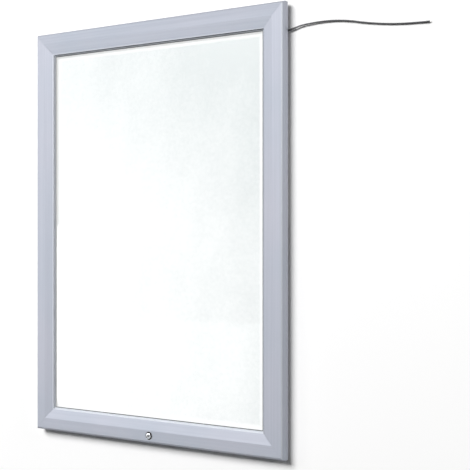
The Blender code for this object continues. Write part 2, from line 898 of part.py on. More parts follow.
def lock(door_axis, bottom_rail):
    x, z = lock_place()
    to_front = towards_front(x, z)
    rim_back = case_depth + seat_gap
    rim_front = case_depth + rim_rise
    bore = plug_radius + seat_gap
    cup_lift = rim_front - cup_depth
    rim_bevel = (rim_radius - cup_radius) / 4
    barrel = [
        (bore, barrel_end_lift),
        (barrel_radius, barrel_end_lift),
        (barrel_radius, rim_back),
        (rim_radius, rim_back),
        (rim_radius, rim_front - rim_bevel),
        (rim_radius - rim_bevel, rim_front),
        (cup_radius, rim_front),
        (cup_radius, cup_lift),
        (bore, cup_lift),
    ]
    barrel_piece = add_piece("lock_barrel", turned(barrel, to_front), chrome, smooth=True)

    hole = barrel_radius + seat_gap
    bm = front_plate([circle(x, z, hole)], web_lift - overrun, case_depth + overrun)
    cutter = as_cutter("lock_hole_cutter", bm)
    cut(bottom_rail, cutter)
    hang_on(door_axis, [cutter])

    corner_radius = nut_across_flats / 2 / math.cos(math.pi / 6)
    nut_front = web_lift - seat_gap
    nut = [circle(x, z, corner_radius, 6), circle(x, z, hole)]
    bm = front_plate(nut, nut_front - nut_thickness, nut_front)
    nut_piece = add_piece("lock_nut", bm, stainless)

    plug_front = case_depth + plug_rise
    cam_lift = plug_end_lift - seat_gap - cam_thickness
    boss_end = cam_lift - seat_gap / 2
    screw_hole = cam_screw_shank + seat_gap
    plug = [
        (0, plug_front),
        (plug_radius - rim_bevel, plug_front),
        (plug_radius, plug_front - rim_bevel),
        (plug_radius, plug_end_lift),
        (boss_radius, plug_end_lift),
        (boss_radius, boss_end),
        (screw_hole, boss_end),
        (screw_hole, boss_end + cam_screw_depth + seat_gap),
        (0, boss_end + cam_screw_depth + seat_gap),
    ]
    plug_piece = add_piece("lock_plug", turned(plug, to_front), chrome, smooth=True)
    slot = rectangle(-key_slot_length / 2, key_slot_length / 2,
                     -key_slot_width / 2, key_slot_width / 2)
    placed = [(x + a, z + b) for a, b in slot]
    bm = front_plate([placed], plug_front - key_slot_depth, plug_front + overrun)
    slot_cutter = as_cutter("key_slot_cutter", bm)
    cut(plug_piece, slot_cutter)

    # the cam points along the rail while the door is free to open
    tip_place = cam_length - cam_half_width
    eye_turn = math.acos((cam_eye_radius - cam_half_width) / tip_place)
    eye = arc(0, 0, cam_eye_radius, eye_turn, math.tau - eye_turn, circle_steps)
    tip = arc(tip_place, 0, cam_half_width, -eye_turn, eye_turn, circle_steps // 3)
    placed = [(x + a, z + b) for a, b in eye + tip]
    cam_hole = circle(x, z, boss_radius + seat_gap, small_circle_steps)
    bm = front_plate([placed, cam_hole], cam_lift, cam_lift + cam_thickness)
    cam_piece = add_piece("lock_cam", bm, galvanised)

    head_front = boss_end - seat_gap
    head_back = head_front - cam_screw_head
    screw = [
        (0, head_back),
        (cam_screw_radius - cam_screw_head / 3, head_back),
        (cam_screw_radius, head_back + cam_screw_head / 3),
        (cam_screw_radius, head_front),
        (cam_screw_shank, head_front),
        (cam_screw_shank, head_front + cam_screw_depth),
        (0, head_front + cam_screw_depth),
    ]
    screw_piece = add_piece(
        "cam_screw", turned(screw, to_front, small_circle_steps), stainless, smooth=True)

    lock_axis = add_axis("lock_axis", (x, -case_depth, z))
    hang_on(lock_axis, [plug_piece, slot_cutter, cam_piece, screw_piece])
    hang_on(door_axis, [lock_axis])
    return [barrel_piece, nut_piece], cam_lift


# The cam turns in under this bridge, which stands on the foot of the bottom base rail
def strike(bottom_rail, cam_lift):
    x, z = lock_place()
    stand_lift = foot_lift + foot_thickness + seat_gap
    under = cam_lift + cam_thickness + strike_clear
    top = under + strike_thickness
    left = x - strike_left
    right = x + strike_right
    bridge = [
        (left - strike_leg, stand_lift),
        (left, stand_lift),
        (left, under),
        (right, under),
        (right, stand_lift),
        (right + strike_leg, stand_lift),
        (right + strike_leg, top),
        (left - strike_leg, top),
    ]
    from_inset = foot_inset + seat_gap

    def at(inset):
        return lambda a, lift: Vector((a, -lift, inset - outer_height / 2))
    bm = sweep([bridge], [at(from_inset), at(from_inset + strike_width)])
    add_piece("strike_plate", bm, galvanised)

    # notches in the base rail for the cam and for the back of the lock
    reach = math.hypot(cam_length, cam_half_width)
    bm = box(x - cam_eye_radius - notch_margin, x + reach + notch_margin,
             cam_lift - notch_margin / 2, base_inner_height + overrun,
             base_inner_inset - outer_height / 2 - notch_margin,
             foot_inset - outer_height / 2 + seat_gap / 2)
    cut(bottom_rail, as_cutter("cam_notch_cutter", bm))
    wide = nut_across_flats / 2 / math.cos(math.pi / 6) + notch_margin
    bm = box(x - wide, x + wide, barrel_end_lift - notch_margin / 2, case_depth,
             base_inset - outer_height / 2 - overrun,
             base_inset + base_wall - outer_height / 2 + overrun)
    return as_cutter("lock_notch_cutter", bm)


# Leads

def drill(piece, name, matrix, radius, depth_from, depth_to):
    bm = turned(
        [(0, depth_from), (radius, depth_from), (radius, depth_to), (0, depth_to)],
        matrix, small_circle_steps)
    cut(piece, as_cutter(name, bm))


def leads(base):
    drill(base["right"], "lead_hole_cutter", inwards(1, lead_exit_lift, lead_exit_height),
          relief_root_radius + seat_gap, base_inset - overrun, base_inset + base_wall + overrun)

    # the lead comes down from its hole to lie along the wall
    base_side = outer_width / 2 - base_inset
    down = len(relief_route) + 3
    places = []
    for number, (way_out, rise) in enumerate(relief_route + lead_route):
        share = min(number / down, 1)
        ease = share * share * (3 - 2 * share)
        lift = lead_exit_lift + (lead_rest_lift - lead_exit_lift) * ease
        places.append(Vector((base_side + way_out, -lift, lead_exit_height + rise)))
    shared = len(relief_route)
    relief_places = smooth_route(places[:shared + 1], relief_steps)
    taper = [
        relief_root_radius + (relief_tip_radius - relief_root_radius) * step / relief_steps
        for step in range(relief_steps + 1)
    ]
    round_bar("lead_relief", relief_places, taper, lead_sheath)
    lead_places = smooth_route(places[shared:], lead_steps)
    lead_places[0] += (lead_places[1] - lead_places[0]).normalized() * seat_gap
    round_bar("power_lead", lead_places, [lead_radius] * len(lead_places), lead_sheath)

    # a terminal block in the channel of the right base rail joins the leads
    channel_inset = base_inset + base_wall
    block_top = lead_exit_height - block_drop
    block_middle = outer_width / 2 - channel_inset - base_channel / 2
    outline = filleted(
        rectangle(block_middle - block_width / 2, block_middle + block_width / 2,
                  block_top - block_length, block_top),
        {0: block_round, 1: block_round, 2: block_round, 3: block_round})
    bm = front_plate([outline], base_floor + seat_gap, base_floor + seat_gap + block_height)
    add_piece("terminal_block", bm, block_plastic)

    # from the strain relief to the block, and from the block to each light strip
    tail_x = block_middle + block_width / 4
    tail = bent_route([
        (relief_places[0].x - seat_gap, -lead_exit_lift, lead_exit_height),
        (tail_x, -lead_exit_lift, lead_exit_height),
        (tail_x, -inner_lead_lift, block_top + seat_gap),
    ], inner_lead_radius * 3)
    round_bar("supply_tail", tail, [inner_lead_radius] * len(tail), lead_sheath, 1)

    board_x = outer_width / 2 - (guide_inset - seat_gap - light_rise - strip_thickness / 2)
    strip_top = poster_height / 2 + guide_margin - strip_end
    turn_height = strip_top + inner_lead_bend + inner_lead_radius * 2
    start_x = block_middle - block_width / 4
    right = bent_route([
        (start_x, -inner_lead_lift, block_top + seat_gap),
        (start_x, -inner_lead_lift, turn_height),
        (board_x, -inner_lead_lift, turn_height),
        (board_x, -inner_lead_lift, strip_top + seat_gap),
    ], inner_lead_bend)
    round_bar("inner_lead_right", right, [inner_lead_radius] * len(right), lead_sheath, 1)

    cross_height = outer_height / 2 - channel_inset - base_channel / 2
    left = bent_route([
        (block_middle, -inner_lead_lift, block_top + seat_gap),
        (block_middle, -inner_lead_lift, cross_height),
        (-block_middle, -inner_lead_lift, cross_height),
        (-block_middle, -inner_lead_lift, turn_height),
        (-board_x, -inner_lead_lift, turn_height),
        (-board_x, -inner_lead_lift, strip_top + seat_gap),
    ], inner_lead_bend)
    round_bar("inner_lead_left", left, [inner_lead_radius] * len(left), lead_sheath, 1)

    for side, side_name in ((-1, "left"), (1, "right")):
        drill(base[side_name], "inner_lead_cutter_" + side_name,
              inwards(side, inner_lead_lift, turn_height), inner_lead_radius + lead_hole_margin,
              base_inner_inset - overrun, foot_inset + overrun)


def wall_screw_holes(base):
    for row, row_name in ((-1, "bottom"), (1, "top")):
        inset = base_inset + base_wall + base_channel / 2
        z = row * (outer_height / 2 - inset)
        for column, column_name in ((-1, "left"), (1, "right")):
            name = "wall_screw_cutter_" + row_name + "_" + column_name
            bm = front_plate([circle(column * wall_screw_reach, z, wall_screw_hole,
                                     small_circle_steps)], -overrun, base_floor + overrun)
            cut(base[row_name], as_cutter(name, bm))


def build():
    clear_scene()
    base = mitred_rails("base_rail", base_rail_outlines(), mill_aluminium)
    base_brackets()
    light_panel()
    side_lights()
    panel_clips()
    wall_screw_holes(base)
    leads(base)

    door_axis = add_axis("door_axis", (0, -hinge_lift, hinge_height))
    door = mitred_rails("door_rail", door_rail_outlines(), anodised)
    pieces = list(door.values()) + corner_keys() + [front_sheet(), glazing_gasket()]
    pieces += list(glazing_beads().values())
    pieces += hinge()
    pieces += stays(door_axis)
    lock_pieces, cam_lift = lock(door_axis, door["bottom"])
    pieces += lock_pieces
    hang_on(door_axis, pieces)

    seal = base_seal()
    notch = strike(base["bottom"], cam_lift)
    cut(base["bottom"], notch)
    cut(seal, notch)


build()
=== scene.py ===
import json
import math

import bmesh
import bpy
from mathutils import Matrix, Vector


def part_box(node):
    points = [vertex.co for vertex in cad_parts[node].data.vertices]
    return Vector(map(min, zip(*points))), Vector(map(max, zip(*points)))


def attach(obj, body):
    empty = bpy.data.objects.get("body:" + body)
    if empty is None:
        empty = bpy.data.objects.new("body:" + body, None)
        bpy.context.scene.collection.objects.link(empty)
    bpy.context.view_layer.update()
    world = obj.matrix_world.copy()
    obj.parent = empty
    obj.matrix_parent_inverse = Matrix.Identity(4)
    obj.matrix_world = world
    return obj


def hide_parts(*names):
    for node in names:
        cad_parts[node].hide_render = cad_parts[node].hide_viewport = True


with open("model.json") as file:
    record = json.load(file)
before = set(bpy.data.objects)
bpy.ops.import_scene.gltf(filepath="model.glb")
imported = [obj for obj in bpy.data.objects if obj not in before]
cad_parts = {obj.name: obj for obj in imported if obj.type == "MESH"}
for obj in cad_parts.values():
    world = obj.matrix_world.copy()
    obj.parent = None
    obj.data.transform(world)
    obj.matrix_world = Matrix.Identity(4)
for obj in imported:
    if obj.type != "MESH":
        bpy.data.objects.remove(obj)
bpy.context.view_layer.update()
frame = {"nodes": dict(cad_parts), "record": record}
slotOf = {row["node"]: row["material_slot"] for row in frame["record"]["subparts"]}
millimetre = 0.001


# Nodes and materials

def toLinear(hexColour):
    channels = [int(hexColour[place:place + 2], 16) / 255 for place in (0, 2, 4)]
    return [c / 12.92 if c <= 0.04045 else ((c + 0.055) / 1.055) ** 2.4 for c in channels] + [1]


# Add a node; an input is given by name or number and takes a value or another node's socket
def addNode(tree, kind, settings={}, inputs={}):
    node = tree.nodes.new("ShaderNode" + kind)
    for name, value in settings.items():
        setattr(node, name, value)
    for name, value in inputs.items():
        if isinstance(value, bpy.types.NodeSocket):
            tree.links.new(value, node.inputs[name])
        else:
            node.inputs[name].default_value = value
    return node


def calculate(tree, operation, *values):
    inputs = dict(enumerate(values))
    return addNode(tree, "Math", {"operation": operation}, inputs).outputs[0]


def newMaterial(name, colour, values={}):
    material = bpy.data.materials.new(name)
    material.use_nodes = True
    tree = material.node_tree
    shader = tree.nodes["Principled BSDF"]
    shader.inputs["Base Color"].default_value = toLinear(colour)
    for socket, value in values.items():
        shader.inputs[socket].default_value = value
    return material, tree, shader


def objectPlace(tree):
    place = addNode(tree, "TexCoord").outputs["Object"]
    return addNode(tree, "SeparateXYZ", {}, {0: place}).outputs


# Object coordinates stretched so that one unit is the given size in millimetres: one size for
# all axes, or three
def patternSpace(tree, size):
    place = addNode(tree, "TexCoord").outputs["Object"]
    sizes = size if isinstance(size, tuple) else (size,) * 3
    scale = [1 / (length * millimetre) for length in sizes]
    return addNode(tree, "Mapping", {}, {"Vector": place, "Scale": scale}).outputs["Vector"]


# Noise by its detail and roughness, soft for clouds and fine for grain and lines. Nearly all of
# it lies within the span, so gloss is spread over that
softNoise = (2.0, 0.5)
fineNoise = (3.0, 0.6)
noiseSpan = (0.3, 0.7)


def noise(tree, size, kind=softNoise):
    space = patternSpace(tree, size)
    values = {"Vector": space, "Scale": 1.0, "Detail": kind[0], "Roughness": kind[1]}
    return addNode(tree, "TexNoise", {}, values).outputs["Fac"]


# Noise drawn out along one axis, as a die or a brush leaves it
def drawnLines(tree, along, look, kind=fineNoise):
    sizes = [look["lineLength"] if axis == along else look["line"] for axis in "XYZ"]
    return noise(tree, tuple(sizes), kind)


def between(tree, factor, low, high, start=0.0, end=1.0):
    values = {"Value": factor, "From Min": start, "From Max": end, "To Min": low, "To Max": high}
    return addNode(tree, "MapRange", {}, values).outputs["Result"]


# Mix two colours, each given as hex or as a socket
def blendColours(tree, factor, first, second):
    sides = [toLinear(side) if isinstance(side, str) else side for side in (first, second)]
    values = {0: factor, 6: sides[0], 7: sides[1]}
    return addNode(tree, "Mix", {"data_type": "RGBA"}, values).outputs[2]


def bump(tree, shader, height, depth, strength=1.0):
    values = {"Height": height, "Distance": depth * millimetre, "Strength": strength}
    tree.links.new(addNode(tree, "Bump", {}, values).outputs["Normal"], shader.inputs["Normal"])


# Camera, where the photograph was taken from: a little to the right, level with the middle
view = {
    "place": (1.4363, -1.862, -0.0181),
    "turn": 33.46,
    "lens": 81.78,
    "sensor": 36,
    "shiftUp": 0.0100,
}


def placeCamera():
    data = bpy.data.cameras.new("camera")
    data.lens = view["lens"]
    data.sensor_width = view["sensor"]
    data.shift_y = view["shiftUp"]
    camera = bpy.data.objects.new("camera", data)
    camera.location = view["place"]
    camera.rotation_euler = (math.pi / 2, 0, math.radians(view["turn"]))
    bpy.context.collection.objects.link(camera)
    bpy.context.scene.camera = camera


# Supply lead: the way out from the base's side and the rise above the exit, then the lift
# from the wall, which eases down from the hole to the wall
lead = {
    "radius": 0.0015,
    "exitLift": 0.0040,
    "restLift": 0.0018,
    "baseSide": 0.3305,
    "exitHeight": 0.4036,
    "reliefPoints": 4,
    "downPoints": 15,
    "route": [
        (-0.0018, 0.0000), (0.0045, 0.0006), (0.0115, 0.0018), (0.0180, 0.0033),
        (0.0240, 0.0048), (0.0325, 0.0069), (0.0418, 0.0084), (0.0602, 0.0098),
        (0.0783, 0.0105), (0.0974, 0.0103), (0.1236, 0.0083), (0.1506, 0.0041),
        (0.1703, -0.0002), (0.1966, -0.0051), (0.2288, -0.0097), (0.2540, -0.0121),
        (0.2792, -0.0136), (0.2977, -0.0143), (0.3149, -0.0149),
    ],
    "reliefRoot": 0.0024,
    "reliefTip": 0.0018,
    "reliefGroove": 0.00035,
    "reliefRings": 7,
    "ringSteps": 4,
    "stripped": 0.0035,
    "coreRadius": 0.0005,
    "coreSpread": 0.0007,
    "coreBendShare": 0.6,
    "coreShares": (1.0, 1.5, 1.8),
    "sleeveLength": 0.007,
    "sleeveRadius": 0.0018,
    "sleeveRoot": 0.00153,
    "sleeveShares": (0.0, 0.06, 0.9, 1.02),
}


def leadPlaces():
    places = []
    for number, (wayOut, rise) in enumerate(lead["route"]):
        share = min(number / lead["downPoints"], 1)
        ease = share * share * (3 - 2 * share)
        lift = lead["exitLift"] + (lead["restLift"] - lead["exitLift"]) * ease
        places.append(Vector((lead["baseSide"] + wayOut, -lift, lead["exitHeight"] + rise)))
    return places


def roundCurve(name, places, radii, kind="BEZIER"):
    curve = bpy.data.curves.new(name, "CURVE")
    curve.dimensions = "3D"
    curve.bevel_depth = 1
    curve.bevel_resolution = 6
    curve.use_fill_caps = True
    curve.resolution_u = 8
    spline = curve.splines.new(kind)
    points = spline.bezier_points if kind == "BEZIER" else spline.points
    points.add(len(places) - 1)
    for point, place, radius in zip(points, places, radii):
        point.radius = radius
        if kind == "BEZIER":
            point.co = place
            point.handle_left_type = point.handle_right_type = "AUTO"
        else:
            point.co = (*place, 1)
    piece = bpy.data.objects.new(name, curve)
    bpy.context.collection.objects.link(piece)
    return piece


# A shrunk sleeve ends the sheath
def makeSleeve(sheathEnd, onward, rubber):
    start = sheathEnd - onward * lead["sleeveLength"]
    places = [start.lerp(sheathEnd, share) for share in lead["sleeveShares"]]
    radii = (lead["sleeveRoot"], lead["sleeveRadius"], lead["sleeveRadius"], lead["radius"])
    sleeve = roundCurve("endSleeve", places, radii, "POLY")
    sleeve.data.materials.append(rubber)
    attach(sleeve, "case")
    return sleeve


# Two tinned cores come out of the sleeve and part a little
def makeCores(sheathEnd, tip, onward, copper):
    across = onward.cross(Vector((0, 1, 0))).normalized() * lead["coreSpread"]
    atStart, atMiddle, atEnd = lead["coreShares"]
    cores = []
    for name, side in (("upperCore", 1), ("lowerCore", -1)):
        start = sheathEnd + across * side * atStart - onward * lead["radius"]
        bend = start.lerp(tip, lead["coreBendShare"]) + across * side * (atMiddle - atStart)
        end = tip + across * side * atEnd - onward * lead["coreRadius"]
        core = roundCurve(name, [start, bend, end], [lead["coreRadius"]] * 3)
        core.data.materials.append(copper)
        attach(core, "case")
        cores.append(core)
    return cores


# The strain relief is a ringed sleeve that tapers along the first of the lead
def makeRelief(first, rubber):
    steps = lead["reliefRings"] * lead["ringSteps"]
    along = []
    radii = []
    for step in range(steps + 1):
        share = step / steps
        position = share * (len(first) - 1)
        number = min(int(position), len(first) - 2)
        along.append(first[number].lerp(first[number + 1], position - number))
        radius = lead["reliefRoot"] + (lead["reliefTip"] - lead["reliefRoot"]) * share
        inGroove = step % lead["ringSteps"] == lead["ringSteps"] - 1
        radii.append(radius - lead["reliefGroove"] * inGroove)
    relief = roundCurve("strainRelief", along, radii, "POLY")
    relief.data.materials.append(rubber)
    return relief


def makeLead(sheath, rubber, copper):
    places = leadPlaces()
    tip = places[-1]
    onward = (tip - places[-2]).normalized()
    places[-1] = tip - onward * lead["stripped"]
    cord = roundCurve("powerLead", places, [lead["radius"]] * len(places))
    cord.data.materials.append(sheath)
    sleeve = makeSleeve(places[-1], onward, rubber)
    cores = makeCores(places[-1], tip, onward, copper)
    relief = makeRelief(places[:lead["reliefPoints"] + 1], rubber)

    for piece, node in ((cord, "power_lead"), (relief, "lead_relief")):
        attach(piece, "case")
        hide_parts(node)


# Finishes. Lengths in their tables are metres where they say where on the piece something is,
# and millimetres where they are the sizes of a pattern

# Extruded aluminium, silver anodised: satin, with faint drawing lines along the rail, and a
# smoother line where hands and cloths rub the upright front edges, coloured brighter there as a
# painted highlight. The hinge rail along the top is more matt and painted a little paler to even
# out its light, and paler still on its down-facing slope, as painted light that lifts its shade.
# The lip round the opening carries painted light, paler, and a dark line of painted shade at the
# right. Its tones are given for the bottom and top, then for the left and right
anodised = {
    "tones": ("949aa3", "a0a0a8"),
    "hingeTones": ("989fa8", "a4a5ad"),
    "slopeTones": ("a0a7b0", "abacb4"),
    "slopeFacing": (-0.2, -0.1),
    "lips": {"X": ("b2b6bc", "cacdd3"), "Z": ("d0d4da", "5c6168")},
    "lipWidth": 0.0013,
    "lipFadeShare": 0.5,
    "roughness": (0.66, 0.72),
    "hingeRoughness": (0.76, 0.82),
    "line": 2.4,
    "lineLength": 400,
    "lineDepth": 0.004,
    "cloud": 180,
    "edge": "a2a6ac",
    "edgeRoughness": 0.48,
    "edgeRound": 0.0015,
    "edgeShares": (0.3, 0.6),
    "flare": 0.0045,
}


# 1 on the rounded edge between the door's front face and its two upright sides, 0 elsewhere
def onFrontEdge(tree):
    parts = objectPlace(tree)
    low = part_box("door_rail_left")[0]
    rounding = anodised["edgeRound"]
    near, far = (share * rounding for share in anodised["edgeShares"])
    away = calculate(tree, "ABSOLUTE", parts[0])
    start = -low.x - anodised["flare"] - rounding
    outside = between(tree, away, 0.0, 1.0, start + near, start + far)
    depth = calculate(tree, "MULTIPLY", parts[1], -1.0)
    back = -low.y - rounding
    forward = between(tree, depth, 0.0, 1.0, back - near, back)
    return calculate(tree, "MULTIPLY", outside, forward)


# 1 where a surface faces down, as the top rail's slope to its lip does, for painted light; 0
# elsewhere
def onTopSlope(tree):
    facing = addNode(tree, "TexCoord").outputs["Normal"]
    upwards = addNode(tree, "SeparateXYZ", {}, {0: facing}).outputs[2]
    return between(tree, upwards, 1.0, 0.0, *anodised["slopeFacing"])


# Painted light and shade over the lip of the rails round the clear opening: paler, but with a
# dark painted shade line on the right
def paintLipLightAndShade(tree, along, tone):
    axis = "ZYX".index(along)
    part = objectPlace(tree)[axis]
    highSide = between(tree, part, 0.0, 1.0, 0.0, millimetre)
    colour = blendColours(tree, highSide, *anodised["lips"][along])
    inner = -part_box("door_rail_left" if along == "Z" else "door_rail_bottom")[1][axis]
    reach = inner + anodised["lipWidth"]
    fade = anodised["lipFadeShare"] * anodised["lipWidth"]
    onLip = between(tree, calculate(tree, "ABSOLUTE", part), 1.0, 0.0, reach - fade, reach)
    return blendColours(tree, onLip, tone, colour)


def anodisedAluminium(name, along, tones, roughness, slopeTones=()):
    material, tree, shader = newMaterial(name, tones[0], {"Metallic": 1.0})
    lines = drawnLines(tree, along, anodised)
    cloud = noise(tree, anodised["cloud"])
    tone = blendColours(tree, cloud, *tones)
    # painted light: surfaces facing down take the paler slope tones, lifting their shade
    if slopeTones:
        slopeLight = blendColours(tree, cloud, *slopeTones)
        tone = blendColours(tree, onTopSlope(tree), tone, slopeLight)
    tone = paintLipLightAndShade(tree, along, tone)
    # painted highlight: the worn front edge takes a brighter colour besides its smoother finish
    edge = onFrontEdge(tree)
    wornAndHighlit = blendColours(tree, edge, tone, anodised["edge"])
    tree.links.new(wornAndHighlit, shader.inputs["Base Color"])
    satin = between(tree, lines, *roughness, *noiseSpan)
    polished = {0: edge, 2: satin, 3: anodised["edgeRoughness"]}
    gloss = addNode(tree, "Mix", {"data_type": "FLOAT"}, polished).outputs[0]
    tree.links.new(gloss, shader.inputs["Roughness"])
    bump(tree, shader, lines, anodised["lineDepth"])
    return material


# Mill finish extrusion: brighter, with stronger die lines and slightly uneven shine
mill = {
    "tones": ("a5a6aa", "b8b9bc"),
    "roughness": (0.52, 0.38),
    "line": 1.6,
    "lineLength": 250,
    "lineDepth": 0.012,
    "lineNoise": (4.0, 0.65),
}


def millAluminium(name, along):
    material, tree, shader = newMaterial(name, mill["tones"][1], {"Metallic": 1.0})
    lines = drawnLines(tree, along, mill, mill["lineNoise"])
    tree.links.new(blendColours(tree, lines, *mill["tones"]), shader.inputs["Base Color"])
    gloss = between(tree, lines, *mill["roughness"], *noiseSpan)
    tree.links.new(gloss, shader.inputs["Roughness"])
    bump(tree, shader, lines, mill["lineDepth"])
    return material


# Hot-dip galvanised sheet: crystals of zinc a centimetre across, each with its own sheen
zincSheet = {
    "crystal": 9,
    "crystalScale": 1.3,
    "jagScale": 1.6,
    "jagShare": 0.22,
    "tones": ("b0b4b7", "d6d8d9"),
    "roughness": (0.3, 0.5),
    "depth": 0.01,
    "relief": 0.6,
}


def galvanisedSteel():
    tones = zincSheet["tones"]
    material, tree, shader = newMaterial("galvanisedSteel", tones[1], {"Metallic": 1.0})
    space = patternSpace(tree, zincSheet["crystal"])
    jags = {"Vector": space, "Scale": zincSheet["jagScale"], "Detail": softNoise[0]}
    jagged = addNode(tree, "TexNoise", {}, jags).outputs["Color"]
    mixing = {0: zincSheet["jagShare"], 4: space, 5: jagged}
    warped = addNode(tree, "Mix", {"data_type": "VECTOR"}, mixing).outputs[1]
    cells = {"Vector": warped, "Scale": zincSheet["crystalScale"]}
    crystals = addNode(tree, "TexVoronoi", {}, cells).outputs["Color"]
    shades = addNode(tree, "SeparateColor", {}, {0: crystals}).outputs
    tree.links.new(blendColours(tree, shades[0], *tones), shader.inputs["Base Color"])
    gloss = between(tree, shades[1], *zincSheet["roughness"])
    tree.links.new(gloss, shader.inputs["Roughness"])
    bump(tree, shader, shades[2], zincSheet["depth"], zincSheet["relief"])
    return material


# Zinc plated steel pressings: thin bright zinc without crystals, slightly blue and uneven
plating = {
    "colour": "a9adb2",
    "tones": ("9a9fa6", "b4b7ba"),
    "roughness": (0.3, 0.44),
    "cloud": 6,
    "pits": 0.8,
    "depth": 0.006,
}


def zincPlatedSteel():
    material, tree, shader = newMaterial("zincPlatedSteel", plating["colour"], {"Metallic": 1.0})
    cloud = noise(tree, plating["cloud"], fineNoise)
    tree.links.new(blendColours(tree, cloud, *plating["tones"]), shader.inputs["Base Color"])
    gloss = between(tree, cloud, *plating["roughness"], *noiseSpan)
    tree.links.new(gloss, shader.inputs["Roughness"])
    bump(tree, shader, noise(tree, plating["pits"]), plating["depth"])
    return material


# Zinc die casting: dull grey with a fine cast grain
casting = {
    "colour": "a3a4a6",
    "tones": ("8c8d90", "b3b4b6"),
    "roughness": (0.45, 0.62),
    "grain": 1.2,
    "grainNoise": (4.0, 0.7),
    "depth": 0.03,
}


def castZinc():
    material, tree, shader = newMaterial("castZinc", casting["colour"], {"Metallic": 1.0})
    grain = noise(tree, casting["grain"], casting["grainNoise"])
    tree.links.new(blendColours(tree, grain, *casting["tones"]), shader.inputs["Base Color"])
    tree.links.new(between(tree, grain, *casting["roughness"]), shader.inputs["Roughness"])
    bump(tree, shader, grain, casting["depth"])
    return material


# Stainless strip and wire, drawn bright: fine lines along its length
drawn = {
    "colour": "c4c3c0",
    "tones": ("b4b3b1", "cfcecb"),
    "roughness": (0.2, 0.34),
    "line": 1.0,
    "lineLength": 60,
    "lineDepth": 0.006,
}


def drawnStainless(name, along):
    material, tree, shader = newMaterial(name, drawn["colour"], {"Metallic": 1.0})
    lines = drawnLines(tree, along, drawn)
    tree.links.new(blendColours(tree, lines, *drawn["tones"]), shader.inputs["Base Color"])
    gloss = between(tree, lines, *drawn["roughness"], *noiseSpan)
    tree.links.new(gloss, shader.inputs["Roughness"])
    bump(tree, shader, lines, drawn["lineDepth"])
    return material


# Polished chrome plate on a zinc lock: a clear mirror with a slight haze from handling
plate = {
    "colour": "bfc2c6",
    "tones": ("b4b7bb", "cacdd1"),
    "roughness": (0.06, 0.2),
    "haze": 3,
}


def chromePlate():
    material, tree, shader = newMaterial("chromePlate", plate["colour"], {"Metallic": 1.0})
    haze = noise(tree, plate["haze"], fineNoise)
    tree.links.new(blendColours(tree, haze, *plate["tones"]), shader.inputs["Base Color"])
    gloss = between(tree, haze, *plate["roughness"], *noiseSpan)
    tree.links.new(gloss, shader.inputs["Roughness"])
    return material


# Cast acrylic, clear: lets light through and shows only its gloss and a cool edge
acrylic = {
    "colour": "fdfefe",
    "index": 1.49,
    "roughness": (0.015, 0.05),
    "smear": 60,
    "smearSpan": (0.35, 0.7),
}


def clearAcrylic():
    material, tree, shader = newMaterial("clearAcrylic", acrylic["colour"], {
        "Transmission Weight": 1.0, "IOR": acrylic["index"]})
    smear = noise(tree, acrylic["smear"], fineNoise)
    gloss = between(tree, smear, *acrylic["roughness"], *acrylic["smearSpan"])
    tree.links.new(gloss, shader.inputs["Roughness"])
    # light on its way to or from a matt surface behind it goes straight through
    path = addNode(tree, "LightPath").outputs
    through = {"Color": toLinear(acrylic["colour"])}
    clear = addNode(tree, "BsdfTransparent", {}, through).outputs[0]
    surface = shader.outputs[0]
    for kind in ("Is Diffuse Ray", "Is Shadow Ray"):
        values = {0: path[kind], 1: surface, 2: clear}
        surface = addNode(tree, "MixShader", {}, values).outputs[0]
    tree.links.new(surface, tree.nodes["Material Output"].inputs["Surface"])
    return material


# Opal acrylic in front of the light guide: white, evenly lit from behind, a little brighter
# along its edges and unevenly cooler across the middle, with a faint grain. The weights are
# those of the way to the right, the way up, the patches and the grain
opal = {
    "colour": "909192",
    "roughness": 0.45,
    "glow": 0.722,
    "white": "fafaf9",
    "cool": "cad0cf",
    "margin": 0.011,
    "marginFadeShare": 0.55,
    "patch": (150, 150, 260),
    "patchNoise": (3.0, 0.55),
    "grain": 7,
    "weights": (0.55, 0.65, 0.6, 0.42),
    "range": (0.72, 1.5),
}


def opalAcrylic(halfWidth, halfHeight):
    look = {"Roughness": opal["roughness"], "Emission Strength": opal["glow"]}
    material, tree, shader = newMaterial("opalAcrylic", opal["colour"], look)
    parts = objectPlace(tree)
    fade = opal["margin"] * opal["marginFadeShare"]
    edges = []
    for part, half in ((parts[0], halfWidth), (parts[2], halfHeight)):
        away = calculate(tree, "ABSOLUTE", part)
        start = half - opal["margin"]
        edges.append(between(tree, away, 0.0, 1.0, start, start + fade))
    edge = calculate(tree, "MAXIMUM", *edges)
    sideways = between(tree, parts[0], 0.0, 1.0, -halfWidth, halfWidth)
    upwards = between(tree, parts[2], 0.0, 1.0, 0.0, halfHeight)
    patches = noise(tree, opal["patch"], opal["patchNoise"])
    grain = noise(tree, opal["grain"], fineNoise)
    total = 0.0
    for share, weight in zip((sideways, upwards, patches, grain), opal["weights"]):
        total = calculate(tree, "MULTIPLY_ADD", share, weight, total)
    dim = between(tree, total, 0.0, 1.0, *opal["range"])
    inside = calculate(tree, "SUBTRACT", 1.0, edge)
    cooler = calculate(tree, "MULTIPLY", dim, inside)
    glow = blendColours(tree, cooler, opal["white"], opal["cool"])
    tree.links.new(glow, shader.inputs["Emission Color"])
    return material


# White reflector film: matt, with a soft ripple where it lies on the sheet
film = {
    "colour": "f0f0ee",
    "tones": ("e9e9e6", "f6f6f4"),
    "roughness": 0.6,
    "ripple": 40,
    "depth": 0.2,
}


def whiteFilm():
    look = {"Roughness": film["roughness"]}
    material, tree, shader = newMaterial("whiteFilm", film["colour"], look)
    ripple = noise(tree, film["ripple"])
    tree.links.new(blendColours(tree, ripple, *film["tones"]), shader.inputs["Base Color"])
    bump(tree, shader, ripple, film["depth"])
    return material
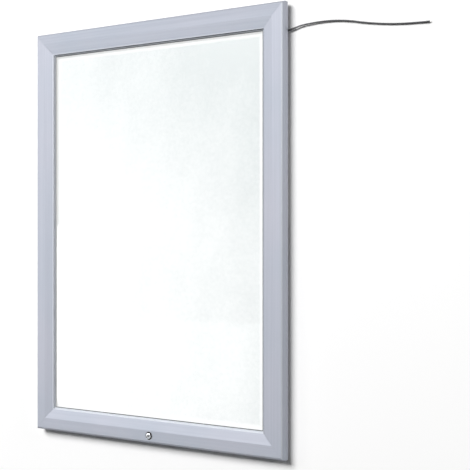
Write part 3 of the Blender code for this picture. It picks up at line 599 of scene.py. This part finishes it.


# Extruded rubber gasket: pale grey and matt with a faint bloom, with a dark band of painted shade
# where it meets the sheet and, at its inner edge, a narrow lip painted near white as painted light
gasket = {
    "cover": 0.008,
    "inset": 0.0051,
    "lip": 0.0004,
    "lipColour": "f2f3f2",
    "line": 0.0018,
    "lineColour": "505356",
    "fade": 0.0002,
    "colour": "b0b5bd",
    "tones": ("b8bcc3", "c6cad1"),
    "roughness": 0.7,
    "bloom": 14,
    "skin": 1.5,
    "depth": 0.03,
}


def greyRubber(halfWidth, halfHeight):
    look = {"Roughness": gasket["roughness"]}
    material, tree, shader = newMaterial("greyRubber", gasket["colour"], look)
    parts = objectPlace(tree)
    sides = [(calculate(tree, "ABSOLUTE", parts[0]), halfWidth),
             (calculate(tree, "ABSOLUTE", parts[2]), halfHeight)]
    tone = blendColours(tree, noise(tree, gasket["bloom"], fineNoise), *gasket["tones"])
    # painted shade in a dark band, then painted light on the lip next to the sheet
    lip = gasket["lip"]
    line = lip + gasket["line"]
    for reach, colour in ((line, gasket["lineColour"]), (lip, gasket["lipColour"])):
        inside = [between(tree, away, 1.0, 0.0, half + reach - gasket["fade"], half + reach)
                  for away, half in sides]
        tone = blendColours(tree, calculate(tree, "MULTIPLY", *inside), tone, colour)
    tree.links.new(tone, shader.inputs["Base Color"])
    bump(tree, shader, noise(tree, gasket["skin"]), gasket["depth"])
    return material


# Foam rubber seal, black: open pores and no shine
foam = {
    "colour": "2c2c2e",
    "tones": ("161618", "3a3a3c"),
    "roughness": 0.9,
    "pore": 1.2,
    "depth": 0.15,
}


def foamSeal():
    material, tree, shader = newMaterial("foamSeal", foam["colour"], {
        "Roughness": foam["roughness"]})
    cells = {"Vector": patternSpace(tree, foam["pore"]), "Scale": 1.0}
    pores = addNode(tree, "TexVoronoi", {}, cells).outputs["Distance"]
    tree.links.new(blendColours(tree, pores, *foam["tones"]), shader.inputs["Base Color"])
    bump(tree, shader, pores, foam["depth"])
    return material


# Dense black matt rubber of the lock's ring and keyway block, both put there as painted shade
moulding = {
    "colour": "0e0e10",
    "tones": ("0a0a0c", "151517"),
    "roughness": 0.8,
    "shine": 0.15,
    "skin": 0.6,
    "depth": 0.01,
}


def blackRubber():
    material, tree, shader = newMaterial("blackRubber", moulding["colour"], {
        "Roughness": moulding["roughness"], "Specular IOR Level": moulding["shine"]})
    skin = noise(tree, moulding["skin"])
    tree.links.new(blendColours(tree, skin, *moulding["tones"]), shader.inputs["Base Color"])
    bump(tree, shader, skin, moulding["depth"])
    return material


# Light strip: a white solder mask board whose chips are yellow phosphor that glows
strip = {
    "colour": "eceee8",
    "tones": ("e4e7e0", "f2f3ee"),
    "roughness": 0.4,
    "tracks": (3, 3, 6),
    "trackNoise": (1.0, 0.5),
    "phosphor": "f4dc7a",
    "light": "fff6dc",
    "glow": 1.5,
    "chipDepth": 0.001,
    "chipFade": 0.0001,
}


def lightStrip():
    look = {"Roughness": strip["roughness"], "Emission Strength": strip["glow"]}
    material, tree, shader = newMaterial("lightStrip", strip["colour"], look)
    face = -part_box("led_strip_left")[1].x
    away = calculate(tree, "ABSOLUTE", objectPlace(tree)[0])
    reach = face + strip["chipDepth"]
    chip = between(tree, away, 1.0, 0.0, reach - strip["chipFade"], reach)
    board = blendColours(tree, noise(tree, strip["tracks"], strip["trackNoise"]), *strip["tones"])
    tone = blendColours(tree, chip, board, strip["phosphor"])
    tree.links.new(tone, shader.inputs["Base Color"])
    light = blendColours(tree, chip, "000000", strip["light"])
    tree.links.new(light, shader.inputs["Emission Color"])
    return material


# Soft vinyl sheath, black: slightly glossy, with a faint waviness from winding
vinyl = {
    "colour": "37383b",
    "tones": ("2e2f32", "404144"),
    "roughness": (0.36, 0.52),
    "wave": 5,
    "depth": 0.05,
}


def vinylSheath():
    material, tree, shader = newMaterial("vinylSheath", vinyl["colour"])
    wave = noise(tree, vinyl["wave"])
    tree.links.new(blendColours(tree, wave, *vinyl["tones"]), shader.inputs["Base Color"])
    tree.links.new(between(tree, wave, *vinyl["roughness"]), shader.inputs["Roughness"])
    bump(tree, shader, wave, vinyl["depth"])
    return material


# Moulded nylon terminal block, off-white with a fine spark grain
nylon = {
    "colour": "dcdad0",
    "tones": ("d3d1c6", "e4e2d9"),
    "roughness": 0.5,
    "grain": 0.9,
    "depth": 0.03,
}


def mouldedNylon():
    material, tree, shader = newMaterial("mouldedNylon", nylon["colour"], {
        "Roughness": nylon["roughness"]})
    grain = noise(tree, nylon["grain"], fineNoise)
    tree.links.new(blendColours(tree, grain, *nylon["tones"]), shader.inputs["Base Color"])
    bump(tree, shader, grain, nylon["depth"])
    return material


def finishNodes(finishes):
    upright = ("left", "right")
    for name, node in frame["nodes"].items():
        slot = slotOf[name]
        along = "Z" if name.split("_")[-1] in upright else "X"
        finish = finishes.get(name) or finishes.get(slot + along) or finishes[slot]
        node.material_slots[0].material = finish


# Small pieces. A place on the case is given as x and z, and a lift from the wall towards the
# front. A cutter stands out of what it cuts by the overrun, points within the merge gap become
# one, and edges sharper than the angle stay sharp
making = {"overrun": 0.001, "mergeGap": 1e-7, "sharpAngle": 35, "bevelSteps": 2}


def newPiece(name, bm, finish, body, replaces=()):
    bmesh.ops.remove_doubles(bm, verts=bm.verts, dist=making["mergeGap"])
    bmesh.ops.recalc_face_normals(bm, faces=bm.faces)
    mesh = bpy.data.meshes.new(name)
    bm.to_mesh(mesh)
    bm.free()
    mesh.shade_smooth()
    mesh.set_sharp_from_angle(angle=math.radians(making["sharpAngle"]))
    mesh.materials.append(finish)
    piece = bpy.data.objects.new(name, mesh)
    bpy.context.collection.objects.link(piece)
    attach(piece, body)
    if replaces:
        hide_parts(*replaces)
    return piece


# Spin a profile of (radius, lift) round the line that stands on the wall at (x, z)
def spinProfile(bm, profile, x, z, steps):
    verts = [bm.verts.new((x + radius, -lift, z)) for radius, lift in profile]
    edges = [bm.edges.new(pair) for pair in zip(verts, verts[1:])]
    bmesh.ops.spin(
        bm, geom=verts + edges, cent=(x, 0, z), axis=(0, 1, 0), angle=math.tau, steps=steps,
        use_merge=True,
    )


# Take a cutter's shape out of a piece and throw the cutter away
def cutAway(piece, bm):
    bmesh.ops.recalc_face_normals(bm, faces=bm.faces)
    mesh = bpy.data.meshes.new("cutter")
    bm.to_mesh(mesh)
    bm.free()
    cutter = bpy.data.objects.new("cutter", mesh)
    bpy.context.collection.objects.link(cutter)
    cutting = piece.modifiers.new("cut", "BOOLEAN")
    cutting.object = cutter
    cutting.solver = "EXACT"
    shaped = piece.evaluated_get(bpy.context.evaluated_depsgraph_get())
    old = piece.data
    piece.data = bpy.data.meshes.new_from_object(shaped)
    piece.modifiers.clear()
    bpy.data.objects.remove(cutter)
    bpy.data.meshes.remove(old)
    piece.data.name = piece.name


def block(bm, x, lift, z, edge=0.0):
    (xFrom, xTo), (liftFrom, liftTo), (zFrom, zTo) = x, lift, z
    size = Matrix.Diagonal((xTo - xFrom, liftTo - liftFrom, zTo - zFrom, 1))
    middle = Vector((xFrom + xTo, -liftFrom - liftTo, zFrom + zTo)) / 2
    made = bmesh.ops.create_cube(bm, size=1, matrix=Matrix.Translation(middle) @ size)
    if edge:
        edges = {e for vert in made["verts"] for e in vert.link_edges}
        bmesh.ops.bevel(
            bm, geom=list(edges), offset=edge, segments=making["bevelSteps"], profile=0.5,
            affect="EDGES", material=-1,
        )


# Pan head screw with a cross recess; facing is 1 for a head towards the front, -1 towards the
# wall. The head's outline is in shares of its radius and height
screw = {
    "headRadius": 0.0030,
    "headHeight": 0.0015,
    "headShares": [(0, 1), (0.3, 0.98), (0.58, 0.88), (0.8, 0.7), (0.93, 0.46), (1, 0.2), (1, 0)],
    "shankShare": 0.36,
    "slotLength": 0.0033,
    "slotWidth": 0.0007,
    "slotDepth": 0.0010,
    "steps": 32,
}


def crossScrew(name, x, z, lift, body, finish, facing=1, replaces=(), share=1.0, shank=0.0):
    radius, height = screw["headRadius"] * share, screw["headHeight"] * share
    profile = [(radius * out, lift + facing * height * up) for out, up in screw["headShares"]]
    if shank:
        shankRadius = radius * screw["shankShare"]
        profile += [(shankRadius, lift), (shankRadius, lift - facing * shank)]
    profile.append((0, lift - facing * shank))
    bm = bmesh.new()
    spinProfile(bm, profile, x, z, screw["steps"])
    piece = newPiece(name, bm, finish, body, replaces)
    top = lift + facing * height
    ends = sorted((top - facing * screw["slotDepth"] * share, top + facing * height))
    long, wide = screw["slotLength"] * share / 2, screw["slotWidth"] * share / 2
    for across, up in ((long, wide), (wide, long)):
        bm = bmesh.new()
        block(bm, (x - across, x + across), ends, (z - up, z + up))
        cutAway(piece, bm)
    return piece


# Lock: threaded barrel with a thin flange, a sloping black ring on the flange whose dark flank
# is painted shade beside the plug, a collar on the plug, and a black block as the keyway's painted
# shade
lock = {
    "threadDepth": 0.0004,
    "threadPitch": 0.0011,
    "threadEnd": 0.0235,
    "bodyRadius": 0.0083,
    "bore": 0.0063,
    "cupRadius": 0.0078,
    "cupLift": 0.0216,
    "flange": (0.0251, 0.0255),
    "ringInside": 0.0066,
    "ringCrest": 0.0070,
    "ringBase": 0.0088,
    "ringTop": 0.0273,
    "ringRound": 0.0003,
    "plugRadius": 0.006,
    "collarRadius": 0.0064,
    "collarBack": 0.0222,
    "collarRound": 0.0003,
    "collarSteps": 5,
    "keyway": (0.0066, 0.0024),
    "keywayBack": 0.0226,
    "shutterDrop": 0.0003,
    "shutterGap": 0.00005,
    "shutterThickness": 0.002,
    "shutterEdge": 0.0003,
    "nutAcross": 0.021,
    "nutBore": 0.0086,
    "nutChamfer": 0.0005,
    "nutSlope": 0.5,
    "nutSteps": 48,
    "camShank": 0.003,
    "steps": 64,
}


def makeBarrel(x, z, chrome):
    low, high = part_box("lock_barrel")
    rim, back = (high.x - low.x) / 2, -high.y
    root = lock["bodyRadius"] - lock["threadDepth"]
    flangeBack, flangeFront = lock["flange"]
    profile = [(lock["bore"], back), (root, back)]
    lift = back + lock["threadPitch"] / 2
    while lift < lock["threadEnd"]:
        profile += [(lock["bodyRadius"], lift), (root, lift + lock["threadPitch"] / 2)]
        lift += lock["threadPitch"]
    profile += [
        (lock["bodyRadius"], flangeBack), (rim, flangeBack), (rim, flangeFront),
        (lock["cupRadius"], flangeFront), (lock["cupRadius"], lock["cupLift"]),
        (lock["bore"], lock["cupLift"]), (lock["bore"], back),
    ]
    bm = bmesh.new()
    spinProfile(bm, profile, x, z, lock["steps"])
    newPiece("lockBarrel", bm, chrome, "door", ["lock_barrel"])


def makeShadeRing(x, z, rubber):
    inside, top, rounding = lock["ringInside"], lock["ringTop"], lock["ringRound"]
    seat = lock["flange"][1]
    profile = [
        (inside, seat), (lock["ringBase"], seat),
        (lock["ringCrest"] + rounding, top - rounding), (lock["ringCrest"], top),
        (inside, top), (inside, seat),
    ]
    bm = bmesh.new()
    spinProfile(bm, profile, x, z, lock["steps"])
    newPiece("lockSealRing", bm, rubber, "door")


# Quarter circle of (radius, lift) points round a corner, from its side to its front
def roundedCorner(radius, lift, rounding, steps):
    turns = [step / (steps - 1) * math.pi / 2 for step in range(steps)]
    return [(radius - rounding + rounding * math.cos(turn),
             lift - rounding + rounding * math.sin(turn)) for turn in turns]


def makeCollar(x, z, front, chrome):
    inner, outer = lock["plugRadius"], lock["collarRadius"]
    profile = [(inner, lock["collarBack"]), (outer, lock["collarBack"])]
    profile += roundedCorner(outer, front, lock["collarRound"], lock["collarSteps"])
    profile += [(inner, front), profile[0]]
    bm = bmesh.new()
    spinProfile(bm, profile, x, z, lock["steps"])
    newPiece("lockCollar", bm, chrome, "lock")


# The plug keeps its shape, with a wider keyway round a black block that paints the slot's shade
def makePlug(x, z, front, chrome, rubber):
    bm = bmesh.new()
    bm.from_mesh(frame["nodes"]["lock_plug"].data)
    plug = newPiece("lockPlug", bm, chrome, "lock", ["lock_plug"])
    long, wide = (side / 2 for side in lock["keyway"])
    depth = (lock["keywayBack"], front + making["overrun"])
    bm = bmesh.new()
    block(bm, (x - long, x + long), depth, (z - wide, z + wide))
    cutAway(plug, bm)

    long, wide = long - lock["shutterGap"], wide - lock["shutterGap"]
    top = front - lock["shutterDrop"]
    depth = (top - lock["shutterThickness"], top)
    bm = bmesh.new()
    block(bm, (x - long, x + long), depth, (z - wide, z + wide), lock["shutterEdge"])
    newPiece("keyShutter", bm, rubber, "lock")


def makeNut(x, z, zinc):
    low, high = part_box("lock_nut")
    flat = lock["nutAcross"] / 2
    corner = lock["nutAcross"] / math.sqrt(3)
    chamfer = lock["nutChamfer"]
    turn = Matrix.Rotation(math.pi / 2, 4, "X")
    middle = Vector((x, (low.y + high.y) / 2, z))
    bm = bmesh.new()
    bmesh.ops.create_cone(
        bm, cap_ends=True, segments=6, radius1=corner, radius2=corner, depth=high.y - low.y,
        matrix=Matrix.Translation(middle) @ turn)
    nut = newPiece("lockNut", bm, zinc, "door", ["lock_nut"])

    bore = lock["nutBore"]
    back, front = -high.y - chamfer, chamfer - low.y
    bm = bmesh.new()
    spinProfile(bm, [(0, back), (bore, back), (bore, front), (0, front)], x, z, lock["nutSteps"])
    bmesh.ops.remove_doubles(bm, verts=bm.verts, dist=making["mergeGap"])
    cutAway(nut, bm)
    reach = corner - flat + chamfer
    for face, way in ((-low.y, 1), (-high.y, -1)):
        wedge = [
            (flat, face), (flat + reach, face - way * reach * lock["nutSlope"]),
            (flat + reach, face + way * chamfer), (flat, face + way * chamfer), (flat, face),
        ]
        bm = bmesh.new()
        spinProfile(bm, wedge, x, z, lock["nutSteps"])
        cutAway(nut, bm)


def makeCamScrew(finish):
    low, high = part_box("cam_screw")
    x, z = (low.x + high.x) / 2, (low.z + high.z) / 2
    share = (high.x - low.x) / 2 / screw["headRadius"]
    lift = -high.y + screw["headHeight"] * share
    crossScrew(
        "camScrew", x, z, lift, "lock", finish, -1, ["cam_screw"], share, lock["camShank"])


def makeLock(chrome, rubber, zinc, finish):
    low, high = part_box("lock_barrel")
    x, z = (low.x + high.x) / 2, (low.z + high.z) / 2
    front = -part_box("lock_plug")[0].y
    makeBarrel(x, z, chrome)
    makeShadeRing(x, z, rubber)
    makeCollar(x, z, front, chrome)
    makePlug(x, z, front, chrome, rubber)
    makeNut(x, z, zinc)
    makeCamScrew(finish)


# Low round rivet heads; each stands on a surface at a place and points along a direction
rivets = {
    "hingeRadius": 0.0017,
    "hingeHeight": 0.0006,
    "hingePitch": 0.0747,
    "hingeCount": 9,
    "hingeLift": 0.0051,
    "leafThickness": 0.0007,
    "trackRadius": 0.0021,
    "trackHeight": 0.0006,
    "trackInset": 0.0031,
    "stepsAround": 24,
    "stepsUp": 12,
}


def rivetHead(bm, place, direction, radius, height):
    stand = Vector(direction).to_track_quat("Z", "Y").to_matrix().to_4x4()
    size = Matrix.Diagonal((radius, radius, height, 1))
    made = bmesh.ops.create_uvsphere(
        bm, u_segments=rivets["stepsAround"], v_segments=rivets["stepsUp"], radius=1,
        matrix=Matrix.Translation(place) @ stand @ size)
    around = {edge for vert in made["verts"] for edge in vert.link_edges}
    faces = {face for vert in made["verts"] for face in vert.link_faces}
    split = bmesh.ops.bisect_plane(
        bm, geom=made["verts"] + list(around) + list(faces), dist=making["mergeGap"],
        plane_co=place, plane_no=direction, clear_inner=True)
    rim = [part for part in split["geom_cut"] if isinstance(part, bmesh.types.BMEdge)]
    bmesh.ops.contextual_create(bm, geom=rim)


def makeRivets(metal):
    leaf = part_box("hinge_leaf_case")[0]
    bm = bmesh.new()
    start = -(rivets["hingeCount"] - 1) / 2 * rivets["hingePitch"]
    for number in range(rivets["hingeCount"]):
        x = start + number * rivets["hingePitch"]
        place = Vector((x, -rivets["hingeLift"], leaf.z + rivets["leafThickness"]))
        rivetHead(bm, place, (0, 0, 1), rivets["hingeRadius"], rivets["hingeHeight"])
    newPiece("hingeRivets", bm, metal, "case")

    for side, way in (("left", -1), ("right", 1)):
        low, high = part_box("stay_track_" + side)
        outer = low.x if way < 0 else high.x
        bm = bmesh.new()
        for z in (low.z + rivets["trackInset"], high.z - rivets["trackInset"]):
            place = Vector((outer, (low.y + high.y) / 2, z))
            rivetHead(bm, place, (way, 0, 0), rivets["trackRadius"], rivets["trackHeight"])
        newPiece("trackRivets" + side.title(), bm, metal, "case")


# Screws that hold the corner brackets to the base, one in each arm
bracket = {"alongArm": 0.034, "acrossArm": 0.0055, "share": 0.8}


def makeBracketScrews(finish):
    far, across = bracket["alongArm"], bracket["acrossArm"]
    for corner in ("top_left", "top_right", "bottom_left", "bottom_right"):
        low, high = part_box("base_bracket_" + corner)
        x, inX = (low.x, 1) if corner.endswith("left") else (high.x, -1)
        z, inZ = (high.z, -1) if corner.startswith("top") else (low.z, 1)
        spots = {
            "Across": (x + inX * far, z + inZ * across),
            "Upright": (x + inX * across, z + inZ * far),
        }
        words = corner.split("_")
        for arm, (xSpot, zSpot) in spots.items():
            name = "bracketScrew" + words[0].title() + words[1].title() + arm
            crossScrew(name, xSpot, zSpot, -low.y, "case", finish, share=bracket["share"])


# Terminal block: three poles with two screws each in wells, grooves between the poles and holes
# for the wires
terminal = {
    "poles": (0.3186, 0.3216, 0.3250),
    "edge": 0.0006,
    "wireLift": 0.0045,
    "wireRadius": 0.0011,
    "wireDepth": 0.004,
    "wireSteps": 16,
    "wellRadius": 0.0011,
    "wellDepth": 0.0028,
    "wellInset": 0.006,
    "wellSteps": 20,
    "grooveWidth": 0.0004,
    "grooveDepth": 0.0012,
    "screwGap": 0.0001,
    "screwHeight": 0.0011,
    "screwChamfer": 0.0002,
    "slotLength": 0.003,
    "slotWidth": 0.0004,
    "slotFloor": 0.0006,
    "slotTop": 0.002,
}


def wellPlaces():
    low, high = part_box("terminal_block")
    rows = (low.z + terminal["wellInset"], high.z - terminal["wellInset"])
    return [(x, z) for x in terminal["poles"] for z in rows]


# Wells, grooves and wire holes are cut one kind at a time, because they meet inside
def makeTerminal(plastic):
    low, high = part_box("terminal_block")
    front, overrun = -low.y, making["overrun"]
    bm = bmesh.new()
    block(bm, (low.x, high.x), (-high.y, front), (low.z, high.z), terminal["edge"])
    piece = newPiece("terminalBlock", bm, plastic, "case", ["terminal_block"])

    radius, floor = terminal["wellRadius"], front - terminal["wellDepth"]
    well = [(0, floor), (radius, floor), (radius, front + overrun), (0, front + overrun)]
    bm = bmesh.new()
    for x, z in wellPlaces():
        spinProfile(bm, well, x, z, terminal["wellSteps"])
    bmesh.ops.remove_doubles(bm, verts=bm.verts, dist=making["mergeGap"])
    cutAway(piece, bm)

    half, floor = terminal["grooveWidth"] / 2, front - terminal["grooveDepth"]
    bm = bmesh.new()
    for x, nextX in zip(terminal["poles"], terminal["poles"][1:]):
        middle = (x + nextX) / 2
        block(bm, (middle - half, middle + half), (floor, front + overrun),
              (low.z - overrun, high.z + overrun))
    cutAway(piece, bm)

    bm = bmesh.new()
    for x in terminal["poles"]:
        bmesh.ops.create_cone(
            bm, cap_ends=True, segments=terminal["wireSteps"], radius1=terminal["wireRadius"],
            radius2=terminal["wireRadius"], depth=2 * terminal["wireDepth"],
            matrix=Matrix.Translation((x, -terminal["wireLift"], high.z)))
    cutAway(piece, bm)


def makeTerminalScrews(metal):
    front = -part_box("terminal_block")[0].y
    floor = front - terminal["wellDepth"] + terminal["screwGap"]
    radius = terminal["wellRadius"] - terminal["screwGap"]
    top, chamfer = floor + terminal["screwHeight"], terminal["screwChamfer"]
    head = [(0, floor), (radius, floor), (radius, top - chamfer), (radius - chamfer, top), (0, top)]
    bm = bmesh.new()
    for x, z in wellPlaces():
        spinProfile(bm, head, x, z, terminal["wellSteps"])
    screws = newPiece("terminalScrews", bm, metal, "case")

    long, wide = terminal["slotLength"] / 2, terminal["slotWidth"] / 2
    depth = (floor + terminal["slotFloor"], floor + terminal["slotTop"])
    bm = bmesh.new()
    for x, z in wellPlaces():
        block(bm, (x - long, x + long), depth, (z - wide, z + wide))
    cutAway(screws, bm)


# The studio: a plain wall right behind the case, a pale floor below, soft lamps and a white
# background. Wall and floor are seen from their fronts only, so no view of the case is blocked.
# A lamp has a place, a size and watts, and is turned to the middle of the case; one whose name
# ends in Card is a reflector that shows in glossy surfaces only
studio = {
    "wallPlace": 0.0006,
    "wallHalf": 6.0,
    "wallColour": "ffffff",
    "wallRoughness": 0.9,
    "floorHeight": -0.75,
    "floorHalf": 6.0,
    "floorColour": "e8e8e8",
    "floorRoughness": 0.8,
    "ambient": 0.065,
    "mirrored": 0.77,
    "lamps": {
        "keySoftbox": ((-3.06, -8.42, 6.39), (7.2, 4.6), 1540),
        "rightSoftbox": ((3.2, -0.62, 1.3), (1.2, 1.2), 23),
        "behindSoftbox": ((2.6, 1.3, 0.6), (1.4, 1.4), 25),
        "leftSoftbox": ((-4.7, -3.0, 1.45), (1.6, 1.6), 36),
        "frontCard": ((-2.1, -1.5, -0.35), (0.8, 0.8), 8.5),
    },
}


def flatSquare(name, matrix, half, finish):
    bm = bmesh.new()
    bmesh.ops.create_grid(bm, x_segments=1, y_segments=1, size=half, matrix=matrix)
    mesh = bpy.data.meshes.new(name)
    bm.to_mesh(mesh)
    bm.free()
    mesh.materials.append(finish)
    square = bpy.data.objects.new(name, mesh)
    bpy.context.collection.objects.link(square)
    return square


# Show a surface from its front only
def openBack(tree, surface):
    back = addNode(tree, "NewGeometry").outputs["Backfacing"]
    unseen = addNode(tree, "BsdfTransparent").outputs[0]
    seen = addNode(tree, "MixShader", {}, {0: back, 1: surface, 2: unseen})
    tree.links.new(seen.outputs[0], tree.nodes["Material Output"].inputs["Surface"])


def mattWallPaint():
    material, tree, shader = newMaterial("mattWallPaint", studio["wallColour"], {
        "Roughness": studio["wallRoughness"], "Specular IOR Level": 0.0})
    openBack(tree, shader.outputs[0])
    return material


def paleFloor():
    material, tree, shader = newMaterial("paleFloor", studio["floorColour"], {
        "Roughness": studio["floorRoughness"]})
    openBack(tree, shader.outputs[0])
    return material


# The world is white to the eye, a little less so in a mirror, and dim as light on matt surfaces
def makeWorld():
    world = bpy.data.worlds.new("world")
    world.use_nodes = True
    bpy.context.scene.world = world
    tree = world.node_tree
    path = addNode(tree, "LightPath").outputs
    mirrored = between(tree, path["Is Glossy Ray"], studio["ambient"], studio["mirrored"])
    straight = calculate(tree, "MAXIMUM", path["Is Camera Ray"], path["Is Transmission Ray"])
    background = tree.nodes["Background"]
    background.inputs["Color"].default_value = toLinear("ffffff")
    strength = calculate(tree, "MAXIMUM", straight, mirrored)
    tree.links.new(strength, background.inputs["Strength"])


def makeLamps():
    for name, (place, size, watts) in studio["lamps"].items():
        lamp = bpy.data.lights.new(name, "AREA")
        lamp.shape = "RECTANGLE"
        lamp.size, lamp.size_y = size
        lamp.energy = watts
        holder = bpy.data.objects.new(name, lamp)
        holder.location = place
        holder.rotation_euler = (-Vector(place)).to_track_quat("-Z", "Y").to_euler()
        bpy.context.collection.objects.link(holder)
        holder.visible_diffuse = not name.endswith("Card")


def makeStudio():
    upright = Matrix.Rotation(math.pi / 2, 4, "X")
    behind = Matrix.Translation((0, studio["wallPlace"], 0)) @ upright
    wall = flatSquare("wall", behind, studio["wallHalf"], mattWallPaint())
    wall.visible_diffuse = wall.visible_glossy = wall.visible_shadow = False
    below = Matrix.Translation((0, 0, studio["floorHeight"]))
    floor = flatSquare("floor", below, studio["floorHalf"], paleFloor())
    floor.visible_diffuse = False
    makeWorld()
    makeLamps()
    bpy.context.scene.view_settings.view_transform = "Standard"


placeCamera()
sheath = vinylSheath()
stainless = {along: drawnStainless("drawnStainless" + word, along)
             for along, word in (("X", "Across"), ("Z", "Upright"))}
makeLead(sheath, sheath, stainless["X"])
print("camera and lead")

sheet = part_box("front_sheet")[1]
hidden = gasket["cover"] + gasket["inset"]
clearWidth, clearHeight = (half - hidden for half in (sheet.x, sheet.z))
chrome = chromePlate()
whiteNylon = mouldedNylon()
zinc = zincPlatedSteel()
finishNodes({
    # the top rail is painted paler, and paler still where it faces down, as painted light
    "door_rail_top": anodisedAluminium(
        "anodisedAluminiumHinge", "X", anodised["hingeTones"], anodised["hingeRoughness"],
        anodised["slopeTones"]),
    "anodised_frameX": anodisedAluminium(
        "anodisedAluminiumAcross", "X", anodised["tones"], anodised["roughness"]),
    "anodised_frameZ": anodisedAluminium(
        "anodisedAluminiumUpright", "Z", anodised["tones"], anodised["roughness"]),
    "mill_aluminiumX": millAluminium("millAluminiumAcross", "X"),
    "mill_aluminiumZ": millAluminium("millAluminiumUpright", "Z"),
    "stainless_steelX": stainless["X"],
    "stainless_steelZ": stainless["Z"],
    "back_panel": galvanisedSteel(),
    "galvanised_steel": zinc,
    "zinc_casting": castZinc(),
    "chrome_plate": chrome,
    "clear_acrylic": clearAcrylic(),
    "opal_acrylic": opalAcrylic(clearWidth, clearHeight),
    "white_film": whiteFilm(),
    "grey_rubber": greyRubber(clearWidth, clearHeight),
    "black_rubber": foamSeal(),
    "led_board": lightStrip(),
    "lead_sheath": sheath,
    "terminal_plastic": whiteNylon,
})
print("finishes")

makeLock(chrome, blackRubber(), zinc, stainless["X"])
print("lock")
makeBracketScrews(stainless["X"])
makeRivets(stainless["X"])
makeTerminal(whiteNylon)
makeTerminalScrews(stainless["X"])
print("screws, rivets and terminal block")

makeStudio()
print("studio")
